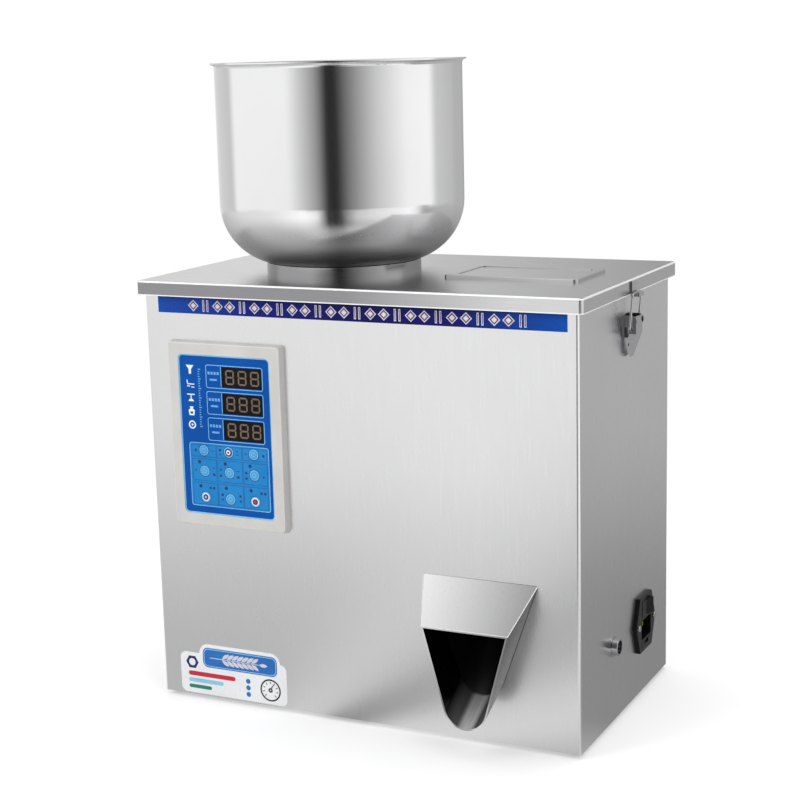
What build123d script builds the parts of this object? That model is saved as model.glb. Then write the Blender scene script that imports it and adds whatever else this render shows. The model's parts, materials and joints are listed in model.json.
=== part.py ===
from build123d import *
import os
from math import acos, atan2, cos, hypot, radians, sin, tan

# Bench weigh-and-pack machine: hopper bowl, vibrating trough, weigh bucket and front scoop.
# Millimetres. +X is the machine's right, -Y its front, +Z up.
# The origin is on the table, under the middle of the cabinet.

# Cabinet
cabinet_width = 380.0
cabinet_depth = 222.0
sheet = 1.2
bend_radius = 2.5
top_flange = 12.0
bottom_flange = 15.0
base_thickness = 1.5
base_gap = 0.5
base_vent_width = 4.0
base_vent_length = 36.0
base_screw_radius = 2.0
base_screw_head = 3.5
foot_height = 4.0
foot_radius = 11.0
foot_inset_x = 40.0
foot_inset_y = 35.0

# Lid, with its skirt over the cabinet
lid_overhang = 5.0
lid_skirt = 12.0
lid_bend = 1.8

# Hopper bowl on its collar, set in from the left wall
hopper_inset = 129.0
bowl_radius = 103.1
bowl_height = 167.0
bowl_sheet = 1.2
bowl_rim_flare = 3.4
bowl_flat_margin = 1.1
collar_height = 7.0
collar_radius = 65.5
collar_wall = 1.5
hub_margin = 8.0
hub_web = 2.0
outlet_radius = 32.0
outlet_wall = 1.0
outlet_gap = 1.0
outlet_flange = 5.0
outlet_below_lid = 48.0
bolt_inset = 10.0
bolt_radius = 2.5
bolt_head_radius = 4.5
bolt_head_height = 3.0
bolt_nut_height = 4.0
bolt_clearance = 0.25

# Inspection cover on the lid, between the bowl and the right edge
cover_bowl_gap = 4.9
cover_edge_gap = 34.0
cover_depth = 70.0
cover_height = 2.4
cover_sheet = 1.0
cover_lap = 8.0
cover_gap = 1.0
cover_plug_depth = 6.0
cover_dish = 0.6

# Front strip and sticker
strip_left_gap = 13.0
strip_right_gap = 9.0
strip_height = 13.6
film = 0.4
sticker_width = 104.0
sticker_height = 45.0
sticker_inset = 17.0
sticker_rise = 1.6

# Control panel: the overlay is as large as its displays, keys and margins
panel_inset = 22.9
panel_drop = 46.8
bezel_border_x = 10.5
bezel_border_z = 11.0
bezel_proud = 6.5
bezel_draft = 1.2
bezel_corner = 3.0
bezel_boss_inset = 7.0
bezel_boss_depth = 14.0
plastic_wall = 2.0
overlay_corner = 4.0
overlay_recess = 1.2
overlay_thickness = 0.5
overlay_gap = 0.2
display_top_margin = 8.9
display_side_margin = 7.6
display_pitch = 22.0
display_width = 37.6
display_height = 17.0
display_depth = 8.2
display_gap = 0.15
key_drop = 10.1
key_row_pitch = 17.4
key_last_row_pitch = 22.3
key_bottom_margin = 14.3
key_column_pitch = 23.7
key_left_margin = 20.7
key_right_margin = 17.9
key_radius = 4.8
key_gap = 0.2
key_dome = 0.7
key_skirt = 1.2
key_pocket = 1.2
key_travel = 0.4
key_stem_radius = 2.0
board_thickness = 1.6
board_edge = 2.5
post_radius = 2.8
post_screw_radius = 1.5
post_inset = 4.5
switch_size = 6.0
switch_height = 3.5

# Discharge scoop in the front wall and the chute behind it
scoop_inset = 82.7
scoop_rise = 33.3
scoop_height = 96.4
scoop_top_half = 48.3
scoop_radius = 20.0
mouth_drop = 15.8
mouth_height = 80.3
mouth_top_half = 36.0
mouth_radius = 18.5
mouth_reach = 32.7
scoop_flange = 8.0
scoop_hole_gap = 0.3
chute_rise = 58.6

# Equipment bridge, feeder and power supply
bridge_side_gap = 24.0
bridge_chute_gap = 9.0
bridge_front_gap = 33.0
bridge_back_gap = 23.0
bridge_sheet = 2.0
bridge_foot = 14.0
mount_height = 14.0
mount_radius = 8.0
spring_lean = 20.0
spring_reach_front = 91.0
spring_reach_rear = 11.0
spring_foot_rise = 9.0
spring_head_drop = 17.7
spring_width = 50.0
spring_thickness = 1.2
spring_bay = 74.0
feeder_block_height = 26.0
feeder_block_width = 60.0
carrier_height = 28.0
carrier_width = 44.0
carrier_lug = 10.0
carrier_top = 4.0
armature_reach = 35.0
armature_thickness = 8.0
armature_width = 30.0
armature_drop = 60.0
magnet_gap = 2.0
magnet_length = 40.0
magnet_height = 34.0
magnet_width = 32.0
coil_bulge = 6.0
trough_rear = 45.0
trough_taper_start = 62.0
trough_over_bucket = 8.7
trough_width = 76.0
trough_mouth_width = 46.0
trough_height = 34.0
outlet_over_trough = 15.8
supply_length = 110.0
supply_depth = 88.0
supply_height = 38.0
supply_side_gap = 14.0
supply_back_gap = 10.0

# Weigh bucket, flap, solenoid and load cell
bucket_width = 72.0
bucket_depth = 64.0
bucket_back = 30.0
bucket_rim_height = 30.0
bucket_taper_height = 34.0
bucket_mouth_width = 42.0
bucket_mouth_depth = 50.0
bucket_sheet = 1.0
bucket_under_trough = 4.0
flap_clearance = 27.0
flap_gap = 0.3
flap_sheet = 1.1
flap_lap = 1.5
hinge_out = 1.0
hinge_drop = 6.0
hinge_pin_radius = 1.5
running_gap = 0.05
knuckle_radius = 2.8
ear_gap = 0.5
ear_thickness = 1.5
ear_radius = 4.5
crank_reach = 13.3
crank_angle = 25.0
crank_thickness = 2.0
crank_width = 7.0
crank_end = 18.5
crank_slot_inner = 11.7
crank_slot_outer = 16.3
plunger_radius = 4.0
plunger_pin_radius = 1.2
fork_gap = 0.3
solenoid_rise = 14.0
solenoid_height = 30.0
solenoid_width = 24.0
solenoid_sheet = 2.0
plunger_length = 36.0
plunger_tail = 3.8
plunger_fork = 12.0
cell_length = 80.0
cell_size = 12.8
cell_inset = 26.0
cell_gap = 3.0
cell_hole = 4.5
riser_height = 50.0
riser_length = 22.0
riser_depth = 20.0
arm_sheet = 3.0
arm_width = 34.0
arm_overlap = 18.0
arm_gap = 3.0

# Mains inlet and pedal socket on the right wall
inlet_setback = 70.0
inlet_rise = 58.3
inlet_flange = 3.5
inlet_floor_wall = 1.9
inlet_drawer_wall = 2.0
inlet_rocker_wall = 2.6
inlet_top_wall = 2.5
inlet_side_wall = 1.75
inlet_lip = 1.5
inlet_corner_lip = 1.25
inlet_ear_margin = 5.5
inlet_depth = 26.0
inlet_cut_gap = 0.4
socket_width = 25.0
socket_height = 17.0
socket_depth = 17.0
socket_corner = 5.0
pin_height = 4.0
pin_thickness = 2.0
pin_pitch = 14.0
pin_rise = 4.0
pin_recess = 5.0
ear_screw_pitch = 40.0
ear_screw_radius = 1.6
ear_screw_head = 2.8
rocker_width = 22.0
rocker_height = 13.4
rocker_gap = 0.3
rocker_tilt = 9.0
rocker_pin_radius = 1.2
rocker_pin_reach = 0.8
rocker_pivot_drop = 2.5
rocker_end_gap = 0.4
rocker_crown = 2.9
rocker_belly = 3.0
rocker_well = 10.5
drawer_width = 21.4
drawer_height = 5.6
drawer_depth = 22.0
drawer_gap = 0.2
pedal_setback = 74.0
pedal_rise = 3.5
pedal_radius = 8.5
pedal_reach = 6.5
pedal_flange = 1.5
pedal_thread_radius = 7.0
pedal_depth = 16.0
pedal_bore = 5.5
pedal_nut_height = 3.0

# Toggle latches, one on each side wall
latch_standoff = 1.5
latch_drop = 21.0
latch_base_width = 20.0
latch_base_above = 6.0
latch_base_below = 28.0
latch_sheet = 1.2
latch_ear_height = 9.0
latch_pin_radius = 1.25
lever_half_width = 8.0
lever_side_gap = 0.3
lever_tip_half = 4.0
lever_tip_below = 29.0
bail_wire = 1.0
bail_side_gap = 0.4
bail_foot_in = 0.8
bail_foot_drop = 7.0
bail_rise = 1.0
bail_bend = 3.0
keeper_half_width = 6.0
keeper_drop = 1.5
keeper_play = 1.6
keeper_rest = 0.3
keeper_lip = 0.5

# Plan of the cabinet
half_width = cabinet_width / 2
half_depth = cabinet_depth / 2
front_inner_y = -half_depth + sheet
lid_width = cabinet_width + 2 * lid_overhang
lid_depth = cabinet_depth + 2 * lid_overhang
hopper_x = hopper_inset - half_width
scoop_x = half_width - scoop_inset
bridge_left = bridge_side_gap - half_width
bridge_right = scoop_x - scoop_top_half - bridge_chute_gap
bridge_front = bridge_front_gap - half_depth
bridge_back = half_depth - bridge_back_gap
supply_x = bridge_left + bridge_sheet + supply_side_gap + supply_length / 2
supply_y = bridge_back - supply_back_gap - supply_depth / 2

# Heights stack up from the table: scoop, chute, bucket, trough, outlet, lid and bowl
shell_bottom = foot_height
base_bottom = shell_bottom + sheet
base_top = base_bottom + base_thickness
scoop_bottom_z = base_top + scoop_rise
scoop_top_z = scoop_bottom_z + scoop_height
mouth_bottom_z = scoop_bottom_z - mouth_drop
mouth_top_z = mouth_bottom_z + mouth_height
chute_top_z = scoop_top_z + chute_rise
hinge_z = chute_top_z + flap_clearance
bucket_bottom = hinge_z + hinge_drop
bucket_knee = bucket_bottom + bucket_taper_height
bucket_top = bucket_knee + bucket_rim_height
trough_bottom = bucket_top + bucket_under_trough
outlet_bottom = trough_bottom + outlet_over_trough
shell_top = outlet_bottom + outlet_below_lid
cabinet_height = shell_top - shell_bottom
lid_top = shell_top + sheet
skirt_bottom = lid_top - lid_skirt
bowl_bottom = lid_top + collar_height
bowl_floor = bowl_bottom + bowl_sheet
bowl_rim = bowl_bottom + bowl_height
block_top = trough_bottom - spring_bay
block_bottom = block_top - feeder_block_height
bridge_top = block_bottom - mount_height


def scoop_face(top_half, top, bottom, radius, inset=0.0):
    """A level top, straight sides that taper down and a round bottom, drawn inset all round."""
    centre = bottom + radius
    reach = hypot(top_half, top - centre)
    lean = atan2(top - centre, top_half) - acos(radius / reach)
    turn = radius - inset
    level = top - inset
    half = (turn - (level - centre) * sin(lean)) / cos(lean)
    touch_x = turn * cos(lean)
    touch_z = centre + turn * sin(lean)
    with BuildSketch() as face:
        with BuildLine():
            Polyline((-touch_x, touch_z), (-half, level), (half, level), (touch_x, touch_z))
            ThreePointArc((touch_x, touch_z), (0, centre - turn), (-touch_x, touch_z))
        make_face()
    return face.sketch


def plane_facing_front(x, y, z=0):
    """Upright plane at y whose normal points out of the front, local x along +X and local y up."""
    return Plane(origin=(x, y, z), x_dir=(1, 0, 0), z_dir=(0, -1, 0))


def plane_facing_right(x, y, z):
    """Upright plane at x whose normal points to the machine's right, local x along +Y."""
    return Plane(origin=(x, y, z), x_dir=(0, 1, 0), z_dir=(1, 0, 0))


os.makedirs("parts", exist_ok=True)

# Places that the shell shares with what goes through it
screw_x = half_width - sheet - (bottom_flange - sheet) / 2
screw_y = half_depth - sheet - (bottom_flange - sheet) / 2
screw_places = [(x, y) for x in (-screw_x, 0, screw_x) for y in (-screw_y, screw_y)]
display_rows_height = display_height + 2 * display_pitch
key_rows_height = key_row_pitch + key_last_row_pitch
overlay_width = key_left_margin + 2 * key_column_pitch + key_right_margin
overlay_height = display_top_margin + display_rows_height + key_drop + key_rows_height + key_bottom_margin
bezel_width = overlay_width + 2 * bezel_border_x
bezel_height = overlay_height + 2 * bezel_border_z
panel_x = panel_inset + bezel_width / 2 - half_width
panel_z = shell_top - panel_drop - bezel_height / 2
boss_width = bezel_width - 2 * bezel_boss_inset
boss_height = bezel_height - 2 * bezel_boss_inset
inlet_y = half_depth - inlet_setback
inlet_z = base_top + inlet_rise
inlet_body_width = socket_width + 2 * inlet_side_wall
drawer_middle = inlet_floor_wall + drawer_height / 2
socket_middle = drawer_middle + drawer_height / 2 + inlet_drawer_wall + socket_height / 2
rocker_middle = socket_middle + socket_height / 2 + inlet_rocker_wall + rocker_height / 2
inlet_body_height = rocker_middle + rocker_height / 2 + inlet_top_wall
pedal_y = pedal_setback - half_depth
pedal_z = inlet_z + pedal_rise
wall_outline = scoop_face(scoop_top_half, scoop_top_z, scoop_bottom_z, scoop_radius)
wall_outline_in = scoop_face(scoop_top_half, scoop_top_z, scoop_bottom_z, scoop_radius, sheet)
wall_outline_out = scoop_face(
    scoop_top_half, scoop_top_z, scoop_bottom_z, scoop_radius, -scoop_hole_gap
)
flange_outline = scoop_face(
    scoop_top_half, scoop_top_z, scoop_bottom_z, scoop_radius, -scoop_flange
)
mouth_outline = scoop_face(mouth_top_half, mouth_top_z, mouth_bottom_z, mouth_radius)
mouth_outline_in = scoop_face(mouth_top_half, mouth_top_z, mouth_bottom_z, mouth_radius, sheet)

# Cabinet shell: four walls of bent sheet, with flanges turned in at the top and the bottom
with BuildPart() as cabinet_shell:
    with BuildSketch(Plane.XY.offset(shell_bottom)):
        RectangleRounded(cabinet_width, cabinet_depth, bend_radius)
    extrude(amount=cabinet_height)
    with BuildSketch(Plane.XY.offset(shell_bottom + sheet)):
        RectangleRounded(cabinet_width - 2 * sheet, cabinet_depth - 2 * sheet, bend_radius - sheet)
    extrude(amount=cabinet_height - 2 * sheet, mode=Mode.SUBTRACT)
    with BuildSketch(Plane.XY.offset(shell_bottom)):
        RectangleRounded(
            cabinet_width - 2 * bottom_flange, cabinet_depth - 2 * bottom_flange, bend_radius
        )
    extrude(amount=sheet, mode=Mode.SUBTRACT)
    with BuildSketch(Plane.XY.offset(shell_bottom)):
        with Locations(*screw_places):
            Circle(base_screw_radius + running_gap)
    extrude(amount=sheet, mode=Mode.SUBTRACT)
    with BuildSketch(Plane.XY.offset(shell_top - sheet)):
        RectangleRounded(cabinet_width - 2 * top_flange, cabinet_depth - 2 * top_flange, bend_radius)
    extrude(amount=sheet, mode=Mode.SUBTRACT)
    with BuildSketch(plane_facing_front(panel_x, -half_depth, panel_z)):
        RectangleRounded(boss_width + base_gap, boss_height + base_gap, bezel_corner)
    extrude(amount=-sheet, mode=Mode.SUBTRACT)
    with BuildSketch(plane_facing_front(scoop_x, -half_depth)):
        add(wall_outline_out)
    extrude(amount=-sheet, mode=Mode.SUBTRACT)
    with BuildSketch(plane_facing_right(half_width, inlet_y, inlet_z)):
        Rectangle(inlet_body_width + inlet_cut_gap, inlet_body_height + inlet_cut_gap)
        with Locations((-ear_screw_pitch / 2, 0), (ear_screw_pitch / 2, 0)):
            Circle(ear_screw_radius + running_gap)
    extrude(amount=-sheet, mode=Mode.SUBTRACT)
    with BuildSketch(plane_facing_right(half_width, pedal_y, pedal_z)):
        Circle(pedal_thread_radius + running_gap)
    extrude(amount=-sheet, mode=Mode.SUBTRACT)
cabinet_shell.part.label = "cabinet_shell"
export_step(cabinet_shell.part, "parts/cabinet_shell.step")

# Base plate on the bottom flange, with a field of vent slots and its screws
base_width = cabinet_width - 2 * sheet - 2 * base_gap
base_depth = cabinet_depth - 2 * sheet - 2 * base_gap
with BuildPart() as base_plate:
    with BuildSketch(Plane.XY.offset(base_bottom)):
        RectangleRounded(base_width, base_depth, bend_radius)
        with Locations((supply_x, supply_y)):
            with GridLocations(3 * base_vent_width, 0, 6, 1):
                SlotOverall(base_vent_length, base_vent_width, rotation=90, mode=Mode.SUBTRACT)
        with Locations(*screw_places):
            Circle(base_screw_radius + running_gap, mode=Mode.SUBTRACT)
    extrude(amount=base_thickness)
base_plate.part.label = "base_plate"
export_step(base_plate.part, "parts/base_plate.step")

with BuildPart() as base_screws:
    with BuildSketch(Plane.XY.offset(shell_bottom)):
        with Locations(*screw_places):
            Circle(base_screw_head)
    extrude(amount=-base_screw_radius)
    with BuildSketch(Plane.XY.offset(shell_bottom)):
        with Locations(*screw_places):
            Circle(base_screw_radius)
    extrude(amount=sheet + base_thickness + base_screw_radius)
base_screws.part.label = "base_screws"
export_step(base_screws.part, "parts/base_screws.step")

# Rubber feet under the base plate, each with a deep screw recess
foot_x = half_width - foot_inset_x
foot_y = half_depth - foot_inset_y
with BuildPart() as rubber_feet:
    with BuildSketch(Plane.XY.offset(base_bottom)):
        with GridLocations(2 * foot_x, 2 * foot_y, 2, 2):
            Circle(foot_radius)
    extrude(amount=-base_bottom, taper=8)
    with BuildSketch(Plane.XY):
        with GridLocations(2 * foot_x, 2 * foot_y, 2, 2):
            Circle(foot_radius / 3)
    extrude(amount=base_bottom / 2, mode=Mode.SUBTRACT)
rubber_feet.part.label = "rubber_feet"
export_step(rubber_feet.part, "parts/rubber_feet.step")

# Hopper: bowl, collar, outlet tube and the bolts that hold them to the lid
hopper_axis = Axis((hopper_x, 0, 0), (0, 0, 1))
hopper_plane = Plane(origin=(hopper_x, 0, 0), x_dir=(1, 0, 0), z_dir=(0, -1, 0))
bolt_circle = outlet_radius + bolt_inset
hub_radius = bolt_circle + hub_margin
bowl_flat = hub_radius + bowl_flat_margin
bowl_turn = bowl_radius - bowl_flat
bowl_lip = bowl_radius + bowl_rim_flare
bowl_hole = outlet_radius + base_gap
turn_top = bowl_bottom + bowl_turn
flare_start = bowl_rim - bowl_sheet - bowl_rim_flare
slant = bowl_turn * sin(radians(45))
slant_in = (bowl_turn - bowl_sheet) * sin(radians(45))
flare_slant = bowl_rim_flare * sin(radians(45))
flare_slant_in = (bowl_rim_flare + bowl_sheet) * sin(radians(45))
with BuildPart() as hopper_bowl:
    with BuildSketch(hopper_plane):
        with BuildLine():
            Line((bowl_hole, bowl_bottom), (bowl_flat, bowl_bottom))
            ThreePointArc(
                (bowl_flat, bowl_bottom), (bowl_flat + slant, turn_top - slant), (bowl_radius, turn_top)
            )
            Line((bowl_radius, turn_top), (bowl_radius, flare_start))
            ThreePointArc(
                (bowl_radius, flare_start),
                (bowl_lip - flare_slant, flare_start + flare_slant),
                (bowl_lip, flare_start + bowl_rim_flare),
            )
            Line((bowl_lip, bowl_rim - bowl_sheet), (bowl_lip, bowl_rim))
            ThreePointArc(
                (bowl_lip, bowl_rim),
                (bowl_lip - flare_slant_in, flare_start + flare_slant_in),
                (bowl_radius - bowl_sheet, flare_start),
            )
            Line((bowl_radius - bowl_sheet, flare_start), (bowl_radius - bowl_sheet, turn_top))
            ThreePointArc(
                (bowl_radius - bowl_sheet, turn_top),
                (bowl_flat + slant_in, turn_top - slant_in),
                (bowl_flat, bowl_floor),
            )
            Line((bowl_flat, bowl_floor), (bowl_hole, bowl_floor))
            Line((bowl_hole, bowl_floor), (bowl_hole, bowl_bottom))
        make_face()
    revolve(axis=hopper_axis)
    with BuildSketch(Plane(origin=(hopper_x, 0, bowl_bottom))):
        with PolarLocations(bolt_circle, 4, start_angle=45):
            Circle(bolt_radius + bolt_clearance)
    extrude(amount=bowl_sheet, mode=Mode.SUBTRACT)
hopper_bowl.part.label = "hopper_bowl"
export_step(hopper_bowl.part, "parts/hopper_bowl.step")

# The collar's outer wall ends just under the curve of the bowl
collar_inner = collar_radius - collar_wall
curve_drop = (bowl_turn**2 - (collar_inner - bowl_flat) ** 2) ** 0.5
collar_top = turn_top - curve_drop - running_gap
hub_bore = outlet_radius + outlet_gap
with BuildPart() as hopper_collar:
    with BuildSketch(hopper_plane):
        with BuildLine():
            Polyline(
                (hub_bore, lid_top),
                (collar_radius, lid_top),
                (collar_radius, collar_top),
                (collar_inner, collar_top),
                (collar_inner, lid_top + hub_web),
                (hub_radius, lid_top + hub_web),
                (hub_radius, bowl_bottom),
                (hub_bore, bowl_bottom),
                close=True,
            )
        make_face()
    revolve(axis=hopper_axis)
    with BuildSketch(Plane(origin=(hopper_x, 0, lid_top))):
        with PolarLocations(bolt_circle, 4, start_angle=45):
            Circle(bolt_radius + bolt_clearance)
    extrude(amount=collar_height, mode=Mode.SUBTRACT)
hopper_collar.part.label = "hopper_collar"
export_step(hopper_collar.part, "parts/hopper_collar.step")

with BuildPart() as outlet_tube:
    with BuildSketch(hopper_plane):
        with BuildLine():
            Polyline(
                (outlet_radius - outlet_wall, outlet_bottom),
                (outlet_radius, outlet_bottom),
                (outlet_radius, bowl_floor),
                (outlet_radius + outlet_flange, bowl_floor),
                (outlet_radius + outlet_flange, bowl_floor + outlet_wall),
                (outlet_radius - outlet_wall, bowl_floor + outlet_wall),
                close=True,
            )
        make_face()
    revolve(axis=hopper_axis)
outlet_tube.part.label = "outlet_tube"
export_step(outlet_tube.part, "parts/outlet_tube.step")

with BuildPart() as hopper_bolts:
    with BuildSketch(Plane(origin=(hopper_x, 0, shell_top))):
        with PolarLocations(bolt_circle, 4, start_angle=45):
            RegularPolygon(bolt_head_radius, 6)
    extrude(amount=-bolt_nut_height)
    with BuildSketch(Plane(origin=(hopper_x, 0, shell_top))):
        with PolarLocations(bolt_circle, 4, start_angle=45):
            Circle(bolt_radius)
    extrude(amount=bowl_floor - shell_top)
    with BuildSketch(Plane(origin=(hopper_x, 0, bowl_floor))):
        with PolarLocations(bolt_circle, 4, start_angle=45):
            Circle(bolt_head_radius)
    extrude(amount=bolt_head_height)
    fillet(hopper_bolts.edges().group_by(Axis.Z)[-1], bolt_head_height / 3)
hopper_bolts.part.label = "hopper_bolts"
export_step(hopper_bolts.part, "parts/hopper_bolts.step")

# Lid: a folded tray with its skirt down, holes for the hopper and the inspection opening
cover_left = hopper_x + bowl_radius + cover_bowl_gap
cover_right = lid_width / 2 - cover_edge_gap
cover_x = (cover_left + cover_right) / 2
cover_width = cover_right - cover_left
opening_width = cover_width - 2 * cover_lap
opening_depth = cover_depth - 2 * cover_lap
lid_corner = bend_radius + sheet
with BuildPart() as lid:
    with BuildSketch(Plane.XY.offset(lid_top)):
        RectangleRounded(lid_width, lid_depth, lid_corner)
    extrude(amount=-lid_skirt)
    fillet(lid.faces().sort_by(Axis.Z)[-1].edges(), lid_bend)
    with BuildSketch(Plane.XY.offset(shell_top)):
        RectangleRounded(lid_width - 2 * sheet, lid_depth - 2 * sheet, lid_corner - sheet)
    extrude(amount=-lid_skirt, mode=Mode.SUBTRACT)
    with BuildSketch(Plane.XY.offset(shell_top)):
        with Locations((hopper_x, 0)):
            Circle(hub_bore)
            with PolarLocations(bolt_circle, 4, start_angle=45):
                Circle(bolt_radius + bolt_clearance)
        with Locations((cover_x, 0)):
            RectangleRounded(opening_width, opening_depth, lid_corner)
    extrude(amount=sheet, mode=Mode.SUBTRACT)
lid.part.label = "lid"
export_step(lid.part, "parts/lid.step")

# Inspection cover: a dished plate with a turned-down rim and a plug that keeps it in the opening
with BuildPart() as inspection_cover:
    with BuildSketch(Plane.XY.offset(lid_top)):
        with Locations((cover_x, 0)):
            RectangleRounded(cover_width, cover_depth, lid_corner)
    extrude(amount=cover_height)
    fillet(inspection_cover.faces().sort_by(Axis.Z)[-1].edges(), cover_sheet * 0.6)
    with BuildSketch(Plane.XY.offset(lid_top)):
        with Locations((cover_x, 0)):
            RectangleRounded(cover_width - 2 * cover_sheet, cover_depth - 2 * cover_sheet, bend_radius)
    extrude(amount=cover_height - cover_sheet - cover_dish, mode=Mode.SUBTRACT)
    with BuildSketch(Plane.XY.offset(lid_top + cover_height)):
        with Locations((cover_x, 0)):
            RectangleRounded(opening_width, opening_depth, lid_corner)
    extrude(amount=-cover_dish, mode=Mode.SUBTRACT)
    with BuildSketch(Plane.XY.offset(lid_top + cover_height - cover_sheet)):
        with Locations((cover_x, 0)):
            RectangleRounded(opening_width - 2 * cover_gap, opening_depth - 2 * cover_gap, bend_radius)
            RectangleRounded(
                opening_width - 2 * cover_gap - 2 * cover_sheet,
                opening_depth - 2 * cover_gap - 2 * cover_sheet,
                bend_radius - cover_sheet,
                mode=Mode.SUBTRACT,
            )
    extrude(amount=-cover_plug_depth)
inspection_cover.part.label = "inspection_cover"
export_step(inspection_cover.part, "parts/inspection_cover.step")

# Front strip and low sticker, both thin films on the front wall
strip_x = (strip_left_gap - strip_right_gap) / 2
strip_width = cabinet_width - strip_left_gap - strip_right_gap
sticker_x = sticker_inset + sticker_width / 2 - half_width
with BuildPart() as front_strip:
    with BuildSketch(plane_facing_front(strip_x, -half_depth, skirt_bottom - base_gap - strip_height / 2)):
        Rectangle(strip_width, strip_height)
    extrude(amount=film)
front_strip.part.label = "front_strip"
export_step(front_strip.part, "parts/front_strip.step")

with BuildPart() as corner_sticker:
    with BuildSketch(
        plane_facing_front(sticker_x, -half_depth, shell_bottom + sticker_rise + sticker_height / 2)
    ):
        with Locations((0, -sticker_height / 10)):
            RectangleRounded(sticker_width, sticker_height * 0.8, sticker_height / 8)
        with Locations((sticker_width / 16, 0)):
            RectangleRounded(sticker_width * 0.76, sticker_height, sticker_height / 5)
    extrude(amount=film)
corner_sticker.part.label = "corner_sticker"
export_step(corner_sticker.part, "parts/corner_sticker.step")

# Control panel: depths from the front of the bezel back to the board
panel_front_y = -half_depth - bezel_proud
recess_y = panel_front_y + overlay_recess
plate_back_y = recess_y + plastic_wall
pocket_y = recess_y + key_pocket
key_base_y = pocket_y - key_travel - running_gap * 2
key_top_y = key_base_y - key_skirt
display_front_y = recess_y + running_gap * 2
board_front_y = display_front_y + display_depth
board_back_y = board_front_y + board_thickness
stem_end_y = board_front_y - switch_height - key_travel - running_gap * 2
boss_inner_width = boss_width - 2 * plastic_wall
boss_inner_height = boss_height - 2 * plastic_wall
board_width = boss_inner_width - 2 * board_edge
board_height = boss_inner_height - 2 * board_edge
display_x = overlay_width / 2 - display_side_margin - display_width / 2
display_z = overlay_height / 2 - display_top_margin - display_height / 2
display_places = [(display_x, display_z - row * display_pitch) for row in range(3)]
key_x = key_left_margin - overlay_width / 2
key_last_row_z = key_bottom_margin - overlay_height / 2
key_middle_row_z = key_last_row_z + key_last_row_pitch
key_rows_z = (key_middle_row_z + key_row_pitch, key_middle_row_z, key_last_row_z)
key_places = [(key_x + column * key_column_pitch, z) for z in key_rows_z for column in range(3)]
post_places = [
    (x, z)
    for x in (-board_width / 2 + post_inset, board_width / 2 - post_inset)
    for z in (-board_height / 2 + post_inset, board_height / 2 - post_inset)
]
recess_plane = plane_facing_front(panel_x, recess_y, panel_z)
wall_plane = plane_facing_front(panel_x, -half_depth, panel_z)
with BuildPart() as panel_bezel:
    with BuildSketch(wall_plane):
        RectangleRounded(bezel_width, bezel_height, bezel_corner)
    with BuildSketch(plane_facing_front(panel_x, panel_front_y, panel_z)):
        RectangleRounded(bezel_width - 2 * bezel_draft, bezel_height - 2 * bezel_draft, bezel_corner)
    loft()
    fillet(panel_bezel.faces().sort_by(Axis.Y)[0].edges(), bezel_draft)
    with BuildSketch(wall_plane):
        RectangleRounded(boss_width, boss_height, bezel_corner)
    extrude(amount=-bezel_boss_depth)
    with BuildSketch(plane_facing_front(panel_x, plate_back_y, panel_z)):
        RectangleRounded(boss_inner_width, boss_inner_height, bezel_corner - plastic_wall)
    extrude(amount=plate_back_y + half_depth - bezel_boss_depth, mode=Mode.SUBTRACT)
    with BuildSketch(recess_plane):
        RectangleRounded(
            overlay_width + 2 * overlay_gap, overlay_height + 2 * overlay_gap, overlay_corner
        )
    extrude(amount=overlay_recess, mode=Mode.SUBTRACT)
    with BuildSketch(recess_plane):
        with Locations(*display_places):
            Rectangle(display_width + 2 * display_gap, display_height + 2 * display_gap)
        with Locations(*key_places):
            Circle(key_stem_radius + key_gap)
    extrude(amount=-plastic_wall, mode=Mode.SUBTRACT)
    with BuildSketch(recess_plane):
        with Locations(*key_places):
            Circle(key_radius + key_gap)
    extrude(amount=-key_pocket, mode=Mode.SUBTRACT)
panel_bezel.part.label = "panel_bezel"
export_step(panel_bezel.part, "parts/panel_bezel.step")

with BuildPart() as panel_overlay:
    with BuildSketch(recess_plane):
        RectangleRounded(overlay_width, overlay_height, overlay_corner)
        with Locations(*display_places):
            Rectangle(display_width, display_height, mode=Mode.SUBTRACT)
        with Locations(*key_places):
            Circle(key_radius + key_gap, mode=Mode.SUBTRACT)
    extrude(amount=overlay_thickness)
panel_overlay.part.label = "panel_overlay"
export_step(panel_overlay.part, "parts/panel_overlay.step")

with BuildPart() as display_modules:
    with BuildSketch(plane_facing_front(panel_x, board_front_y, panel_z)):
        with Locations(*display_places):
            Rectangle(display_width, display_height)
    extrude(amount=display_depth)
display_modules.part.label = "display_modules"
export_step(display_modules.part, "parts/display_modules.step")

# Board behind the panel, with a tact switch under each key and parts on its back
with BuildPart() as control_board:
    with BuildSketch(plane_facing_front(panel_x, board_front_y, panel_z)):
        Rectangle(board_width, board_height)
        with Locations(*post_places):
            Circle(post_screw_radius + running_gap, mode=Mode.SUBTRACT)
    extrude(amount=-board_thickness)
    with BuildSketch(plane_facing_front(panel_x, board_front_y, panel_z)):
        with Locations(*key_places):
            Rectangle(switch_size, switch_size)
    extrude(amount=switch_height * 0.7)
    with BuildSketch(plane_facing_front(panel_x, board_front_y, panel_z)):
        with Locations(*key_places):
            Circle(switch_size / 4)
    extrude(amount=switch_height)
    with BuildSketch(plane_facing_front(panel_x, board_back_y, panel_z)):
        with Locations((0, board_height / 3), (0, -board_height / 3)):
            Rectangle(board_width / 2, post_inset * 2)
        with Locations((-board_width / 4, 0), (board_width / 4, 0)):
            Rectangle(board_width / 5, board_height / 4)
    extrude(amount=-board_thickness * 3)
control_board.part.label = "control_board"
export_step(control_board.part, "parts/control_board.step")

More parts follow.
